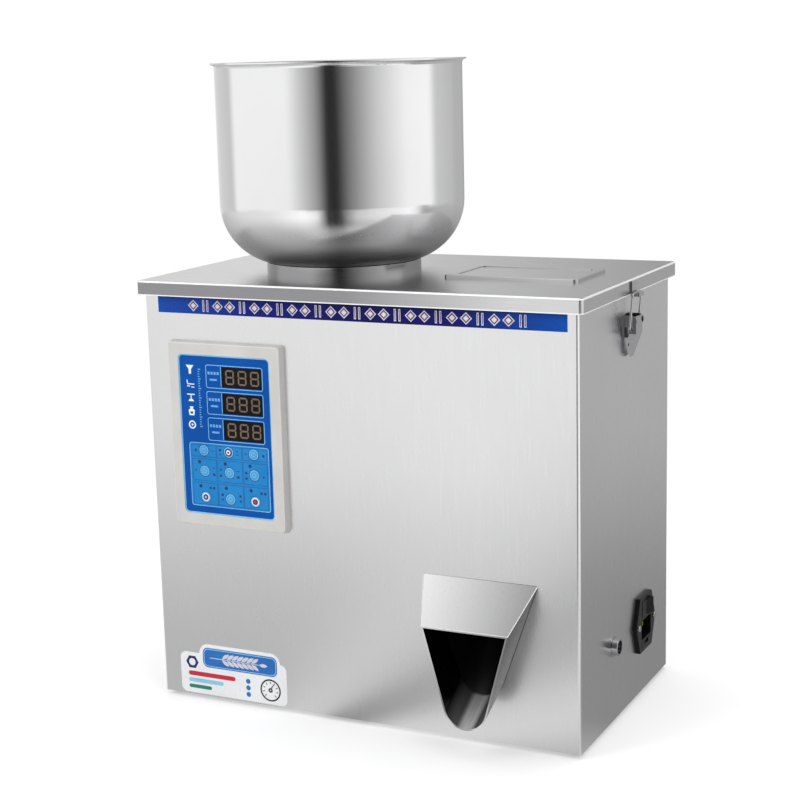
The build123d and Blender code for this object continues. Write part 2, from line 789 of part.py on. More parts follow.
with BuildPart() as board_standoffs:
    with BuildSketch(plane_facing_front(panel_x, board_front_y, panel_z)):
        with Locations(*post_places):
            Circle(post_radius)
    extrude(amount=board_front_y - plate_back_y)
    with BuildSketch(plane_facing_front(panel_x, board_front_y, panel_z)):
        with Locations(*post_places):
            Circle(post_screw_radius)
    extrude(amount=-board_thickness)
    with BuildSketch(plane_facing_front(panel_x, board_back_y, panel_z)):
        with Locations(*post_places):
            Circle(post_radius)
    extrude(amount=-post_screw_radius)
board_standoffs.part.label = "board_standoffs"
export_step(board_standoffs.part, "parts/board_standoffs.step")

# Nine round keys with low domes; each stem ends just short of its switch
dome_radius = (key_radius**2 + key_dome**2) / (2 * key_dome)
dome_half = key_radius / 2
dome_half_y = key_top_y - key_dome + dome_radius - (dome_radius**2 - dome_half**2) ** 0.5
for number, (x, z) in enumerate(key_places, start=1):
    key_plane = Plane(origin=(panel_x + x, 0, panel_z + z))
    with BuildPart() as key:
        with BuildSketch(key_plane):
            with BuildLine():
                Polyline(
                    (0, key_top_y - key_dome),
                    (0, stem_end_y),
                    (key_stem_radius, stem_end_y),
                    (key_stem_radius, key_base_y),
                    (key_radius, key_base_y),
                    (key_radius, key_top_y),
                )
                ThreePointArc(
                    (key_radius, key_top_y), (dome_half, dome_half_y), (0, key_top_y - key_dome)
                )
            make_face()
        revolve(axis=Axis((panel_x + x, 0, panel_z + z), (0, 1, 0)))
    key.part.label = f"key_{number}"
    export_step(key.part, f"parts/key_{number}.step")

# Scoop: a tapering spout of sheet with a flange behind the front wall
mouth_y = -half_depth - mouth_reach
scoop_wall_plane = plane_facing_front(scoop_x, -half_depth)
mouth_plane = plane_facing_front(scoop_x, mouth_y)
with BuildPart() as discharge_scoop:
    with BuildSketch(scoop_wall_plane):
        add(wall_outline)
    with BuildSketch(mouth_plane):
        add(mouth_outline)
    loft(ruled=True)
    with BuildSketch(scoop_wall_plane):
        add(wall_outline)
    extrude(amount=-2 * sheet)
    with BuildSketch(plane_facing_front(scoop_x, front_inner_y)):
        add(flange_outline)
    extrude(amount=-sheet)
    with BuildSketch(scoop_wall_plane):
        add(wall_outline_in)
    with BuildSketch(mouth_plane):
        add(mouth_outline_in)
    loft(ruled=True, mode=Mode.SUBTRACT)
    with BuildSketch(scoop_wall_plane):
        add(wall_outline_in)
    extrude(amount=-2 * sheet, mode=Mode.SUBTRACT)
discharge_scoop.part.label = "discharge_scoop"
export_step(discharge_scoop.part, "parts/discharge_scoop.step")

# Inner chute: the scoop's outline carried up and back at 45 degrees, cut level at the top
chute_y = front_inner_y + sheet
chute_run = (chute_top_z - scoop_bottom_z + scoop_radius) / sin(radians(45))
chute_plane = plane_facing_front(scoop_x, chute_y)
with BuildPart() as inner_chute:
    with BuildSketch(chute_plane):
        add(wall_outline)
    extrude(amount=chute_run, dir=(0, 1, 1))
    with BuildSketch(chute_plane):
        add(flange_outline)
    extrude(amount=-sheet)
    with BuildSketch(chute_plane):
        add(wall_outline_in)
    extrude(amount=chute_run, dir=(0, 1, 1), mode=Mode.SUBTRACT)
    with BuildSketch(Plane.XY.offset(chute_top_z)):
        with Locations((scoop_x, 0)):
            Rectangle(4 * scoop_top_half, 2 * cabinet_depth)
    extrude(amount=cabinet_height, mode=Mode.SUBTRACT)
inner_chute.part.label = "inner_chute"
export_step(inner_chute.part, "parts/inner_chute.step")

# Bridge of folded sheet over the power supply; the feeder and the load cell stand on it
bridge_deck = bridge_top - bridge_sheet
foot_top = base_top + bridge_sheet
with BuildPart() as equipment_bridge:
    with BuildSketch(plane_facing_front(0, bridge_front)):
        with BuildLine():
            Polyline(
                (bridge_left - bridge_foot, base_top),
                (bridge_left + bridge_sheet, base_top),
                (bridge_left + bridge_sheet, bridge_deck),
                (bridge_right - bridge_sheet, bridge_deck),
                (bridge_right - bridge_sheet, base_top),
                (bridge_right + bridge_foot, base_top),
                (bridge_right + bridge_foot, foot_top),
                (bridge_right, foot_top),
                (bridge_right, bridge_top),
                (bridge_left, bridge_top),
                (bridge_left, foot_top),
                (bridge_left - bridge_foot, foot_top),
                close=True,
            )
        make_face()
    extrude(amount=bridge_front - bridge_back)
    with BuildSketch(plane_facing_right(bridge_right, (bridge_front + bridge_back) / 2, bridge_top / 2)):
        RectangleRounded((bridge_back - bridge_front) / 2, bridge_top / 2, bridge_foot)
    extrude(amount=bridge_left - bridge_right, mode=Mode.SUBTRACT)
equipment_bridge.part.label = "equipment_bridge"
export_step(equipment_bridge.part, "parts/equipment_bridge.step")

# Vibrating feeder: block on rubber mounts, two leaning leaf springs, carrier and trough
lean = tan(radians(spring_lean))
spring_front_x = hopper_x + spring_reach_front
spring_rear_x = hopper_x - spring_reach_rear
spring_foot_z = block_bottom + spring_foot_rise
spring_top = trough_bottom - spring_head_drop
armature_x = hopper_x + armature_reach
carrier_bottom = trough_bottom - carrier_height
plate_bottom = trough_bottom - carrier_top
spring_run = spring_thickness / cos(radians(spring_lean))


def front_line(z):
    """Foot-to-head line of the right spring's inner face."""
    return spring_front_x - lean * (z - spring_foot_z)


def rear_line(z):
    """Foot-to-head line of the left spring's inner face."""
    return spring_rear_x - lean * (z - spring_foot_z)


block_middle = (front_line(block_bottom) + rear_line(block_bottom)) / 2
with BuildPart() as rubber_mounts:
    with BuildSketch(Plane.XY.offset(bridge_top)):
        with Locations((block_middle, 0)):
            with GridLocations(feeder_block_width * 1.2, feeder_block_width * 0.7, 2, 2):
                Circle(mount_radius)
    extrude(amount=mount_height)
    fillet(rubber_mounts.edges().group_by(Axis.Z)[0], spring_thickness)
    fillet(rubber_mounts.edges().group_by(Axis.Z)[-1], spring_thickness)
rubber_mounts.part.label = "rubber_mounts"
export_step(rubber_mounts.part, "parts/rubber_mounts.step")

with BuildPart() as feeder_block:
    with BuildSketch(plane_facing_front(0, -feeder_block_width / 2)):
        with BuildLine():
            Polyline(
                (rear_line(block_bottom), block_bottom),
                (front_line(block_bottom), block_bottom),
                (front_line(block_top), block_top),
                (rear_line(block_top), block_top),
                close=True,
            )
        make_face()
    extrude(amount=-feeder_block_width)
feeder_block.part.label = "feeder_block"
export_step(feeder_block.part, "parts/feeder_block.step")

with BuildPart() as leaf_springs:
    with BuildSketch(plane_facing_front(0, -spring_width / 2)):
        for line, side in ((front_line, 1), (rear_line, -1)):
            with BuildLine():
                Polyline(
                    (line(spring_foot_z), spring_foot_z),
                    (line(spring_foot_z) + side * spring_run, spring_foot_z),
                    (line(spring_top) + side * spring_run, spring_top),
                    (line(spring_top), spring_top),
                    close=True,
                )
            make_face()
    extrude(amount=-spring_width)
leaf_springs.part.label = "leaf_springs"
export_step(leaf_springs.part, "parts/leaf_springs.step")

with BuildPart() as trough_carrier:
    with BuildSketch(plane_facing_front(0, -carrier_width / 2)):
        with BuildLine():
            Polyline(
                (rear_line(trough_bottom), trough_bottom),
                (front_line(trough_bottom), trough_bottom),
                (front_line(carrier_bottom), carrier_bottom),
                (front_line(carrier_bottom) - carrier_lug, carrier_bottom),
                (front_line(plate_bottom) - carrier_lug, plate_bottom),
                (rear_line(plate_bottom) + carrier_lug, plate_bottom),
                (rear_line(carrier_bottom) + carrier_lug, carrier_bottom),
                (rear_line(carrier_bottom), carrier_bottom),
                close=True,
            )
        make_face()
    extrude(amount=-carrier_width)
trough_carrier.part.label = "trough_carrier"
export_step(trough_carrier.part, "parts/trough_carrier.step")

with BuildPart() as armature:
    with BuildSketch(Plane.XY.offset(plate_bottom)):
        with Locations((armature_x + armature_thickness / 2, 0)):
            Rectangle(armature_thickness, armature_width)
    extrude(amount=-armature_drop)
armature.part.label = "armature"
export_step(armature.part, "parts/armature.step")

# Electromagnet facing the armature: iron core with its winding
magnet_x = armature_x - magnet_gap - magnet_length / 2
with BuildPart() as electromagnet:
    with BuildSketch(Plane.XY.offset(block_top)):
        with Locations((magnet_x, 0)):
            Rectangle(magnet_length, magnet_width)
    extrude(amount=magnet_height)
    with BuildSketch(Plane.XY.offset(block_top + coil_bulge / 2)):
        with Locations((magnet_x, 0)):
            RectangleRounded(magnet_length * 0.6, magnet_width + 2 * coil_bulge, coil_bulge)
    extrude(amount=magnet_height - coil_bulge)
electromagnet.part.label = "electromagnet"
export_step(electromagnet.part, "parts/electromagnet.step")

trough_left = hopper_x - trough_rear
trough_right = scoop_x - bucket_width / 2 + trough_over_bucket
taper_x = hopper_x + trough_taper_start
with BuildPart() as feeder_trough:
    with BuildSketch(Plane.XY.offset(trough_bottom)):
        with BuildLine():
            Polyline(
                (trough_left, -trough_width / 2),
                (taper_x, -trough_width / 2),
                (trough_right, -trough_mouth_width / 2),
                (trough_right, trough_mouth_width / 2),
                (taper_x, trough_width / 2),
                (trough_left, trough_width / 2),
                close=True,
            )
        make_face()
    extrude(amount=trough_height)
    with BuildSketch(Plane.XY.offset(trough_bottom + sheet)):
        with BuildLine():
            Polyline(
                (trough_left + sheet, sheet - trough_width / 2),
                (taper_x, sheet - trough_width / 2),
                (trough_right, sheet - trough_mouth_width / 2),
                (trough_right, trough_mouth_width / 2 - sheet),
                (taper_x, trough_width / 2 - sheet),
                (trough_left + sheet, trough_width / 2 - sheet),
                close=True,
            )
        make_face()
    extrude(amount=trough_height, mode=Mode.SUBTRACT)
feeder_trough.part.label = "feeder_trough"
export_step(feeder_trough.part, "parts/feeder_trough.step")

# Power supply in a slotted case under the bridge
with BuildPart() as power_supply:
    with BuildSketch(Plane.XY.offset(base_top)):
        with Locations((supply_x, supply_y)):
            Rectangle(supply_length, supply_depth)
    extrude(amount=supply_height)
    with BuildSketch(Plane.XY.offset(base_top + sheet)):
        with Locations((supply_x, supply_y)):
            Rectangle(supply_length - 2 * sheet, supply_depth - 2 * sheet)
    extrude(amount=supply_height - 2 * sheet, mode=Mode.SUBTRACT)
    with BuildSketch(Plane.XY.offset(base_top + supply_height)):
        with Locations((supply_x, supply_y)):
            with GridLocations(3 * base_vent_width, 0, 7, 1):
                SlotOverall(supply_depth * 0.7, base_vent_width, rotation=90)
    extrude(amount=-sheet, mode=Mode.SUBTRACT)
    with BuildSketch(Plane.XY.offset(base_top)):
        with Locations((supply_x, supply_y)):
            with GridLocations(3 * base_vent_width, 0, 6, 1):
                SlotOverall(base_vent_length, base_vent_width, rotation=90)
    extrude(amount=sheet, mode=Mode.SUBTRACT)
power_supply.part.label = "power_supply"
export_step(power_supply.part, "parts/power_supply.step")

# Load cell on its riser, and the bracket that carries the bucket on the free end
hinge_y = bucket_back + hinge_out
plunger_y = hinge_y + crank_reach
solenoid_depth = 2 * (plunger_y - bucket_back)
solenoid_bottom = hinge_z + solenoid_rise
solenoid_top = solenoid_bottom + solenoid_height
arm_y = bucket_back + solenoid_depth + cell_gap
cell_x = bridge_right - cell_inset
cell_y = arm_y + cell_size / 2
cell_z = bridge_top + riser_height
cell_top = cell_z + cell_size
with BuildPart() as load_cell_riser:
    with BuildSketch(Plane.XY.offset(bridge_top)):
        with Locations((cell_x + riser_length / 2, cell_y)):
            Rectangle(riser_length, riser_depth)
    extrude(amount=cell_z - bridge_top)
load_cell_riser.part.label = "load_cell_riser"
export_step(load_cell_riser.part, "parts/load_cell_riser.step")

with BuildPart() as load_cell:
    with BuildSketch(plane_facing_front(cell_x + cell_length / 2, arm_y, cell_z + cell_size / 2)):
        Rectangle(cell_length, cell_size)
        with Locations((-2 * cell_hole, 0), (2 * cell_hole, 0)):
            Circle(cell_hole, mode=Mode.SUBTRACT)
        Rectangle(4 * cell_hole, cell_hole / 2, mode=Mode.SUBTRACT)
    extrude(amount=-cell_size)
load_cell.part.label = "load_cell"
export_step(load_cell.part, "parts/load_cell.step")

arm_foot_top = cell_top + arm_sheet
arm_lip_top = bucket_top - ear_radius
arm_shelf = solenoid_top + arm_gap + arm_sheet
arm_left = cell_x + cell_length - arm_overlap
with BuildPart() as bucket_arm:
    with BuildSketch(plane_facing_right(arm_left, 0, 0)):
        with BuildLine():
            Polyline(
                (arm_y + cell_size, cell_top),
                (arm_y + cell_size, arm_foot_top),
                (arm_y + arm_sheet, arm_foot_top),
                (arm_y + arm_sheet, arm_shelf),
                (bucket_back + arm_sheet, arm_shelf),
                (bucket_back + arm_sheet, arm_lip_top),
                (bucket_back, arm_lip_top),
                (bucket_back, arm_shelf - arm_sheet),
                (arm_y, arm_shelf - arm_sheet),
                (arm_y, cell_top),
                close=True,
            )
        make_face()
    extrude(amount=arm_width)
bucket_arm.part.label = "bucket_arm"
export_step(bucket_arm.part, "parts/bucket_arm.step")

# Weigh bucket: a sheet funnel with a straight back and two hinge ears
bucket_middle = bucket_back - bucket_depth / 2
mouth_middle = bucket_back - bucket_mouth_depth / 2
top_place = (scoop_x, bucket_middle)
low_place = (scoop_x, mouth_middle)
flap_half = bucket_mouth_width / 2 + flap_lap
ear_inner = flap_half + ear_gap
ear_top = bucket_bottom + ear_gap + knuckle_radius * 3
with BuildPart() as weigh_bucket:
    with BuildSketch(Plane.XY.offset(bucket_knee)):
        with Locations(top_place):
            Rectangle(bucket_width, bucket_depth)
    extrude(amount=bucket_top - bucket_knee)
    with BuildSketch(Plane.XY.offset(bucket_knee)):
        with Locations(top_place):
            Rectangle(bucket_width, bucket_depth)
    with BuildSketch(Plane.XY.offset(bucket_bottom)):
        with Locations(low_place):
            Rectangle(bucket_mouth_width, bucket_mouth_depth)
    loft(ruled=True)
    for side_x in (scoop_x - ear_inner - ear_thickness, scoop_x + ear_inner):
        with BuildSketch(plane_facing_right(side_x, hinge_y, hinge_z)):
            Circle(ear_radius)
            with Locations((0, (ear_top - hinge_z) / 2)):
                Rectangle(2 * ear_radius, ear_top - hinge_z)
        extrude(amount=ear_thickness)
    with BuildSketch(plane_facing_right(scoop_x - bucket_width, hinge_y, hinge_z)):
        Circle(hinge_pin_radius + running_gap)
    extrude(amount=2 * bucket_width, mode=Mode.SUBTRACT)
    with BuildSketch(Plane.XY.offset(bucket_knee)):
        with Locations(top_place):
            Rectangle(bucket_width - 2 * bucket_sheet, bucket_depth - 2 * bucket_sheet)
    extrude(amount=bucket_top - bucket_knee, mode=Mode.SUBTRACT)
    with BuildSketch(Plane.XY.offset(bucket_knee)):
        with Locations(top_place):
            Rectangle(bucket_width - 2 * bucket_sheet, bucket_depth - 2 * bucket_sheet)
    with BuildSketch(Plane.XY.offset(bucket_bottom)):
        with Locations(low_place):
            Rectangle(bucket_mouth_width - 2 * bucket_sheet, bucket_mouth_depth - 2 * bucket_sheet)
    loft(ruled=True, mode=Mode.SUBTRACT)
weigh_bucket.part.label = "weigh_bucket"
export_step(weigh_bucket.part, "parts/weigh_bucket.step")

pin_half = ear_inner + ear_thickness + 2 * ear_gap
with BuildPart() as flap_pin:
    with BuildSketch(plane_facing_right(scoop_x - pin_half, hinge_y, hinge_z)):
        Circle(hinge_pin_radius)
    extrude(amount=2 * pin_half)
flap_pin.part.label = "flap_pin"
export_step(flap_pin.part, "parts/flap_pin.step")

# Bottom flap with its knuckle, and a slotted crank the solenoid pulls
flap_top = bucket_bottom - flap_gap
flap_front = bucket_back - bucket_mouth_depth - flap_lap - ear_gap
crank_plane = Plane(
    origin=(scoop_x - crank_thickness / 2, hinge_y, hinge_z),
    x_dir=(0, cos(radians(crank_angle)), -sin(radians(crank_angle))),
    z_dir=(1, 0, 0),
)
slot_width = 2 * (plunger_pin_radius + ear_gap * 0.7)
with BuildPart() as bucket_flap:
    with BuildSketch(plane_facing_right(scoop_x - flap_half, 0, 0)):
        with Locations(((flap_front + hinge_y) / 2, flap_top - flap_sheet / 2)):
            Rectangle(hinge_y - flap_front, flap_sheet)
        with Locations((hinge_y, (flap_top + hinge_z) / 2)):
            Rectangle(flap_sheet, flap_top - hinge_z)
        with Locations((hinge_y, hinge_z)):
            Circle(knuckle_radius)
    extrude(amount=2 * flap_half)
    with BuildSketch(crank_plane):
        with Locations((crank_end / 2, 0)):
            SlotOverall(crank_end, crank_width)
    extrude(amount=crank_thickness)
    with BuildSketch(crank_plane):
        with Locations(((crank_slot_inner + crank_slot_outer) / 2, 0)):
            SlotOverall(crank_slot_outer - crank_slot_inner, slot_width)
    extrude(amount=crank_thickness, mode=Mode.SUBTRACT)
    with BuildSketch(plane_facing_right(scoop_x - flap_half, hinge_y, hinge_z)):
        Circle(hinge_pin_radius + running_gap)
    extrude(amount=2 * flap_half, mode=Mode.SUBTRACT)
bucket_flap.part.label = "bucket_flap"
export_step(bucket_flap.part, "parts/bucket_flap.step")

# Solenoid on the bucket's back: a frame, a coil, and a plunger with a forked tail
plunger_pin_z = hinge_z - crank_reach * tan(radians(crank_angle))
plunger_bottom = plunger_pin_z - plunger_tail
plunger_bore = plunger_radius + running_gap
with BuildPart() as flap_solenoid:
    with BuildSketch(Plane.XY.offset(solenoid_bottom)):
        with Locations((scoop_x, plunger_y)):
            Rectangle(solenoid_width, solenoid_depth)
    extrude(amount=solenoid_height)
    with BuildSketch(Plane.XY.offset(solenoid_bottom + solenoid_sheet)):
        with Locations((scoop_x, plunger_y + solenoid_sheet)):
            Rectangle(solenoid_width, solenoid_depth)
    extrude(amount=solenoid_height - 2 * solenoid_sheet, mode=Mode.SUBTRACT)
    with BuildSketch(Plane.XY.offset(solenoid_bottom + solenoid_sheet)):
        with Locations((scoop_x, plunger_y)):
            Circle(solenoid_width / 2 - ear_gap)
    extrude(amount=solenoid_height - 2 * solenoid_sheet)
    with BuildSketch(Plane.XY.offset(solenoid_bottom)):
        with Locations((scoop_x, plunger_y)):
            Circle(plunger_bore)
    extrude(amount=solenoid_height - 2 * solenoid_sheet, mode=Mode.SUBTRACT)
flap_solenoid.part.label = "flap_solenoid"
export_step(flap_solenoid.part, "parts/flap_solenoid.step")

with BuildPart() as solenoid_plunger:
    with BuildSketch(Plane.XY.offset(plunger_bottom)):
        with Locations((scoop_x, plunger_y)):
            Circle(plunger_radius)
    extrude(amount=plunger_length)
    with BuildSketch(Plane.XY.offset(plunger_bottom)):
        with Locations((scoop_x, plunger_y)):
            Rectangle(crank_thickness + 2 * fork_gap, 4 * plunger_radius)
    extrude(amount=plunger_fork, mode=Mode.SUBTRACT)
    with BuildSketch(plane_facing_right(scoop_x - plunger_radius / 2, plunger_y, plunger_pin_z)):
        Circle(plunger_pin_radius)
    extrude(amount=plunger_radius)
solenoid_plunger.part.label = "solenoid_plunger"
export_step(solenoid_plunger.part, "parts/solenoid_plunger.step")

# Mains inlet: six-sided flange, body through the wall, socket, fuse drawer and rocker openings
inlet_face_x = half_width + inlet_flange
inlet_half_width = ear_screw_pitch / 2 + inlet_ear_margin
inlet_half_height = inlet_body_height / 2 + inlet_lip
inlet_top_half = inlet_body_width / 2 + inlet_corner_lip
inlet_body_floor = inlet_z - inlet_body_height / 2
drawer_z = inlet_body_floor + drawer_middle
socket_z = inlet_body_floor + socket_middle
rocker_z = inlet_body_floor + rocker_middle
rocker_pivot_x = inlet_face_x - rocker_pivot_drop
pin_places = [(-pin_pitch / 2, 0), (0, pin_rise), (pin_pitch / 2, 0)]
inlet_face = plane_facing_right(inlet_face_x, inlet_y, inlet_z)
socket_plane = plane_facing_right(inlet_face_x, inlet_y, socket_z)
pin_plane = plane_facing_right(inlet_face_x - socket_depth, inlet_y, socket_z)
pocket_height = rocker_height + 2 * rocker_pin_reach + 2 * rocker_gap
with BuildPart() as power_inlet:
    with BuildSketch(plane_facing_right(half_width, inlet_y, inlet_z)):
        with BuildLine():
            Polyline(
                (-inlet_half_width, 0),
                (-inlet_top_half, inlet_half_height),
                (inlet_top_half, inlet_half_height),
                (inlet_half_width, 0),
                (inlet_top_half, -inlet_half_height),
                (-inlet_top_half, -inlet_half_height),
                close=True,
            )
        make_face()
    extrude(amount=inlet_flange)
    fillet(power_inlet.edges().filter_by(Axis.X), inlet_flange / 2)
    fillet(power_inlet.faces().sort_by(Axis.X)[-1].edges(), inlet_flange / 5)
    with BuildSketch(plane_facing_right(half_width, inlet_y, inlet_z)):
        Rectangle(inlet_body_width, inlet_body_height)
    extrude(amount=-inlet_depth)
    with BuildSketch(socket_plane):
        RectangleRounded(socket_width, socket_height, socket_corner / 2)
    extrude(amount=-socket_depth, mode=Mode.SUBTRACT)
    with BuildSketch(pin_plane):
        with Locations(*pin_places):
            Rectangle(pin_thickness, pin_height)
    extrude(amount=-inlet_depth, mode=Mode.SUBTRACT)
    with BuildSketch(plane_facing_right(inlet_face_x, inlet_y, drawer_z)):
        Rectangle(drawer_width + 2 * drawer_gap, drawer_height + 2 * drawer_gap)
    extrude(amount=-drawer_depth - 2 * drawer_gap, mode=Mode.SUBTRACT)
    with BuildSketch(plane_facing_right(inlet_face_x, inlet_y, rocker_z)):
        Rectangle(rocker_width + 2 * rocker_gap, rocker_height + 2 * rocker_gap)
    extrude(amount=-rocker_well, mode=Mode.SUBTRACT)
    with BuildSketch(Plane(origin=(rocker_pivot_x, inlet_y, rocker_z - pocket_height / 2))):
        Circle(rocker_pin_radius + running_gap)
    extrude(amount=pocket_height, mode=Mode.SUBTRACT)
    with BuildSketch(inlet_face):
        with Locations((-ear_screw_pitch / 2, 0), (ear_screw_pitch / 2, 0)):
            Circle(ear_screw_radius + running_gap)
    extrude(amount=-inlet_flange, mode=Mode.SUBTRACT)
power_inlet.part.label = "power_inlet"
export_step(power_inlet.part, "parts/power_inlet.step")

with BuildPart() as inlet_pins:
    with BuildSketch(pin_plane):
        with Locations(*pin_places):
            Rectangle(pin_thickness, pin_height)
    extrude(amount=socket_depth - pin_recess)
    with BuildSketch(pin_plane):
        with Locations(*pin_places):
            Rectangle(pin_thickness, pin_height)
    extrude(amount=-inlet_depth)
    fillet(inlet_pins.faces().sort_by(Axis.X)[-3:].edges(), pin_thickness / 4)
inlet_pins.part.label = "inlet_pins"
export_step(inlet_pins.part, "parts/inlet_pins.step")

with BuildPart() as inlet_screws:
    with BuildSketch(inlet_face):
        with Locations((-ear_screw_pitch / 2, 0), (ear_screw_pitch / 2, 0)):
            Circle(ear_screw_head)
    extrude(amount=ear_screw_radius)
    fillet(inlet_screws.faces().sort_by(Axis.X)[-2:].edges(), ear_screw_radius / 2)
    with BuildSketch(inlet_face):
        with Locations((-ear_screw_pitch / 2, 0), (ear_screw_pitch / 2, 0)):
            Circle(ear_screw_radius)
    extrude(amount=-inlet_flange - 3 * sheet)
inlet_screws.part.label = "inlet_screws"
export_step(inlet_screws.part, "parts/inlet_screws.step")

# Rocker with a shallow V face, tipped one way; its two trunnions sit in the body
rocker_reach = rocker_width / 2 + rocker_gap - rocker_end_gap
belly_half = (rocker_reach**2 - rocker_belly**2) ** 0.5
crown_slope = tan(radians(rocker_tilt))
crown_square = 1 + crown_slope**2
crown_middle = crown_slope * rocker_crown
crown_reach = crown_middle**2 + crown_square * (rocker_reach**2 - rocker_crown**2)
crown_half = (crown_reach**0.5 - crown_middle) / crown_square
crown_top = rocker_crown + crown_half * crown_slope
rocker_plane = Plane(
    origin=(rocker_pivot_x, inlet_y, rocker_z - rocker_height / 2),
    x_dir=(sin(radians(rocker_tilt)), cos(radians(rocker_tilt)), 0),
    z_dir=(0, 0, -1),
)
with BuildPart() as rocker_switch:
    with BuildSketch(rocker_plane):
        with BuildLine():
            Polyline((-crown_half, crown_top), (0, rocker_crown), (crown_half, crown_top))
            ThreePointArc((crown_half, crown_top), (rocker_reach, 0), (belly_half, -rocker_belly))
            Line((belly_half, -rocker_belly), (-belly_half, -rocker_belly))
            ThreePointArc((-belly_half, -rocker_belly), (-rocker_reach, 0), (-crown_half, crown_top))
        make_face()
    extrude(amount=-rocker_height)
    with BuildSketch(rocker_plane):
        Circle(rocker_pin_radius)
    extrude(amount=rocker_pin_reach)
    with BuildSketch(rocker_plane):
        Circle(rocker_pin_radius)
    extrude(amount=-rocker_height - rocker_pin_reach)
rocker_switch.part.label = "rocker_switch"
export_step(rocker_switch.part, "parts/rocker_switch.step")

# Fuse drawer with a finger notch and a cradle cut from above
with BuildPart() as fuse_drawer:
    with BuildSketch(plane_facing_right(inlet_face_x + drawer_gap, inlet_y, drawer_z)):
        Rectangle(drawer_width, drawer_height)
    extrude(amount=-drawer_depth - drawer_gap)
    with BuildSketch(Plane.XY.offset(drawer_z + drawer_height / 2)):
        with Locations((inlet_face_x - drawer_depth / 2, inlet_y)):
            Rectangle(drawer_depth * 0.8, drawer_width * 0.7)
        with Locations((inlet_face_x, inlet_y)):
            Rectangle(pin_thickness, drawer_width / 2)
    extrude(amount=-drawer_height * 0.6, mode=Mode.SUBTRACT)
fuse_drawer.part.label = "fuse_drawer"
export_step(fuse_drawer.part, "parts/fuse_drawer.step")

# Round pedal socket: threaded barrel through the wall, shoulder outside, four contacts inside
pedal_tip_x = half_width + pedal_reach
pedal_tip = plane_facing_right(pedal_tip_x, pedal_y, pedal_z)
pedal_floor = plane_facing_right(half_width, pedal_y, pedal_z)
with BuildPart() as pedal_socket:
    with BuildSketch(pedal_floor):
        Circle(pedal_radius)
    extrude(amount=pedal_flange)
    with BuildSketch(pedal_tip):
        Circle(pedal_thread_radius)
    extrude(amount=-pedal_reach - pedal_depth)
    fillet(pedal_socket.edges().group_by(Axis.X)[-1], pedal_flange / 3)
    with BuildSketch(pedal_tip):
        Circle(pedal_bore)
    extrude(amount=-pedal_reach, mode=Mode.SUBTRACT)
    with BuildSketch(pedal_floor):
        with GridLocations(pedal_bore, pedal_bore, 2, 2):
            Circle(pin_thickness / 3)
    extrude(amount=pedal_reach / 2)
    with BuildSketch(plane_facing_right(half_width - pedal_depth, pedal_y, pedal_z)):
        with GridLocations(pedal_bore, pedal_bore, 2, 2):
            Circle(pin_thickness / 3)
    extrude(amount=-pedal_nut_height)
pedal_socket.part.label = "pedal_socket"
export_step(pedal_socket.part, "parts/pedal_socket.step")

with BuildPart() as pedal_nut:
    with BuildSketch(plane_facing_right(half_width - sheet, pedal_y, pedal_z)):
        RegularPolygon(pedal_radius + pedal_flange, 6)
        Circle(pedal_thread_radius, mode=Mode.SUBTRACT)
    extrude(amount=-pedal_nut_height)
pedal_nut.part.label = "pedal_nut"
export_step(pedal_nut.part, "parts/pedal_nut.step")

# Toggle latch: base with ears, lever, wire bail and a keeper hook on the lid's skirt
latch_pivot_out = lid_overhang + latch_standoff
latch_pivot_z = skirt_bottom - latch_drop
latch_base_top = latch_pivot_z + latch_base_above
latch_base_bottom = latch_pivot_z - latch_base_below
pivot_x = half_width + latch_pivot_out
latch_ear_inner = lever_half_width + lever_side_gap
ear_outer = latch_ear_inner + latch_sheet
lever_inner = lever_half_width - latch_sheet
lever_back_x = pivot_x - 2 * latch_pin_radius
lever_web_x = pivot_x + latch_ear_height * 0.4
bail_x = pivot_x - bail_foot_in
bail_z = latch_pivot_z - bail_foot_drop
bail_arm_y = ear_outer + bail_wire + bail_side_gap
bail_top_z = skirt_bottom + bail_rise
with BuildPart() as latch_base_right:
    with BuildSketch(plane_facing_right(half_width, 0, (latch_base_top + latch_base_bottom) / 2)):
        RectangleRounded(latch_base_width, latch_base_top - latch_base_bottom, bend_radius)
        with Locations((0, -latch_ear_height), (0, -latch_sheet)):
            Circle(latch_pin_radius, mode=Mode.SUBTRACT)
    extrude(amount=latch_sheet)
    for ear_y in (latch_ear_inner, -ear_outer):
        with BuildSketch(plane_facing_front(0, ear_y + latch_sheet)):
            with Locations((pivot_x, latch_pivot_z)):
                Circle(latch_ear_height / 2)
            with Locations(((half_width + pivot_x) / 2, latch_pivot_z)):
                Rectangle(latch_pivot_out, latch_ear_height)
            with Locations((pivot_x, latch_pivot_z)):
                Circle(latch_pin_radius + running_gap, mode=Mode.SUBTRACT)
        extrude(amount=latch_sheet)
latch_base_right.part.label = "latch_base_right"
export_step(latch_base_right.part, "parts/latch_base_right.step")

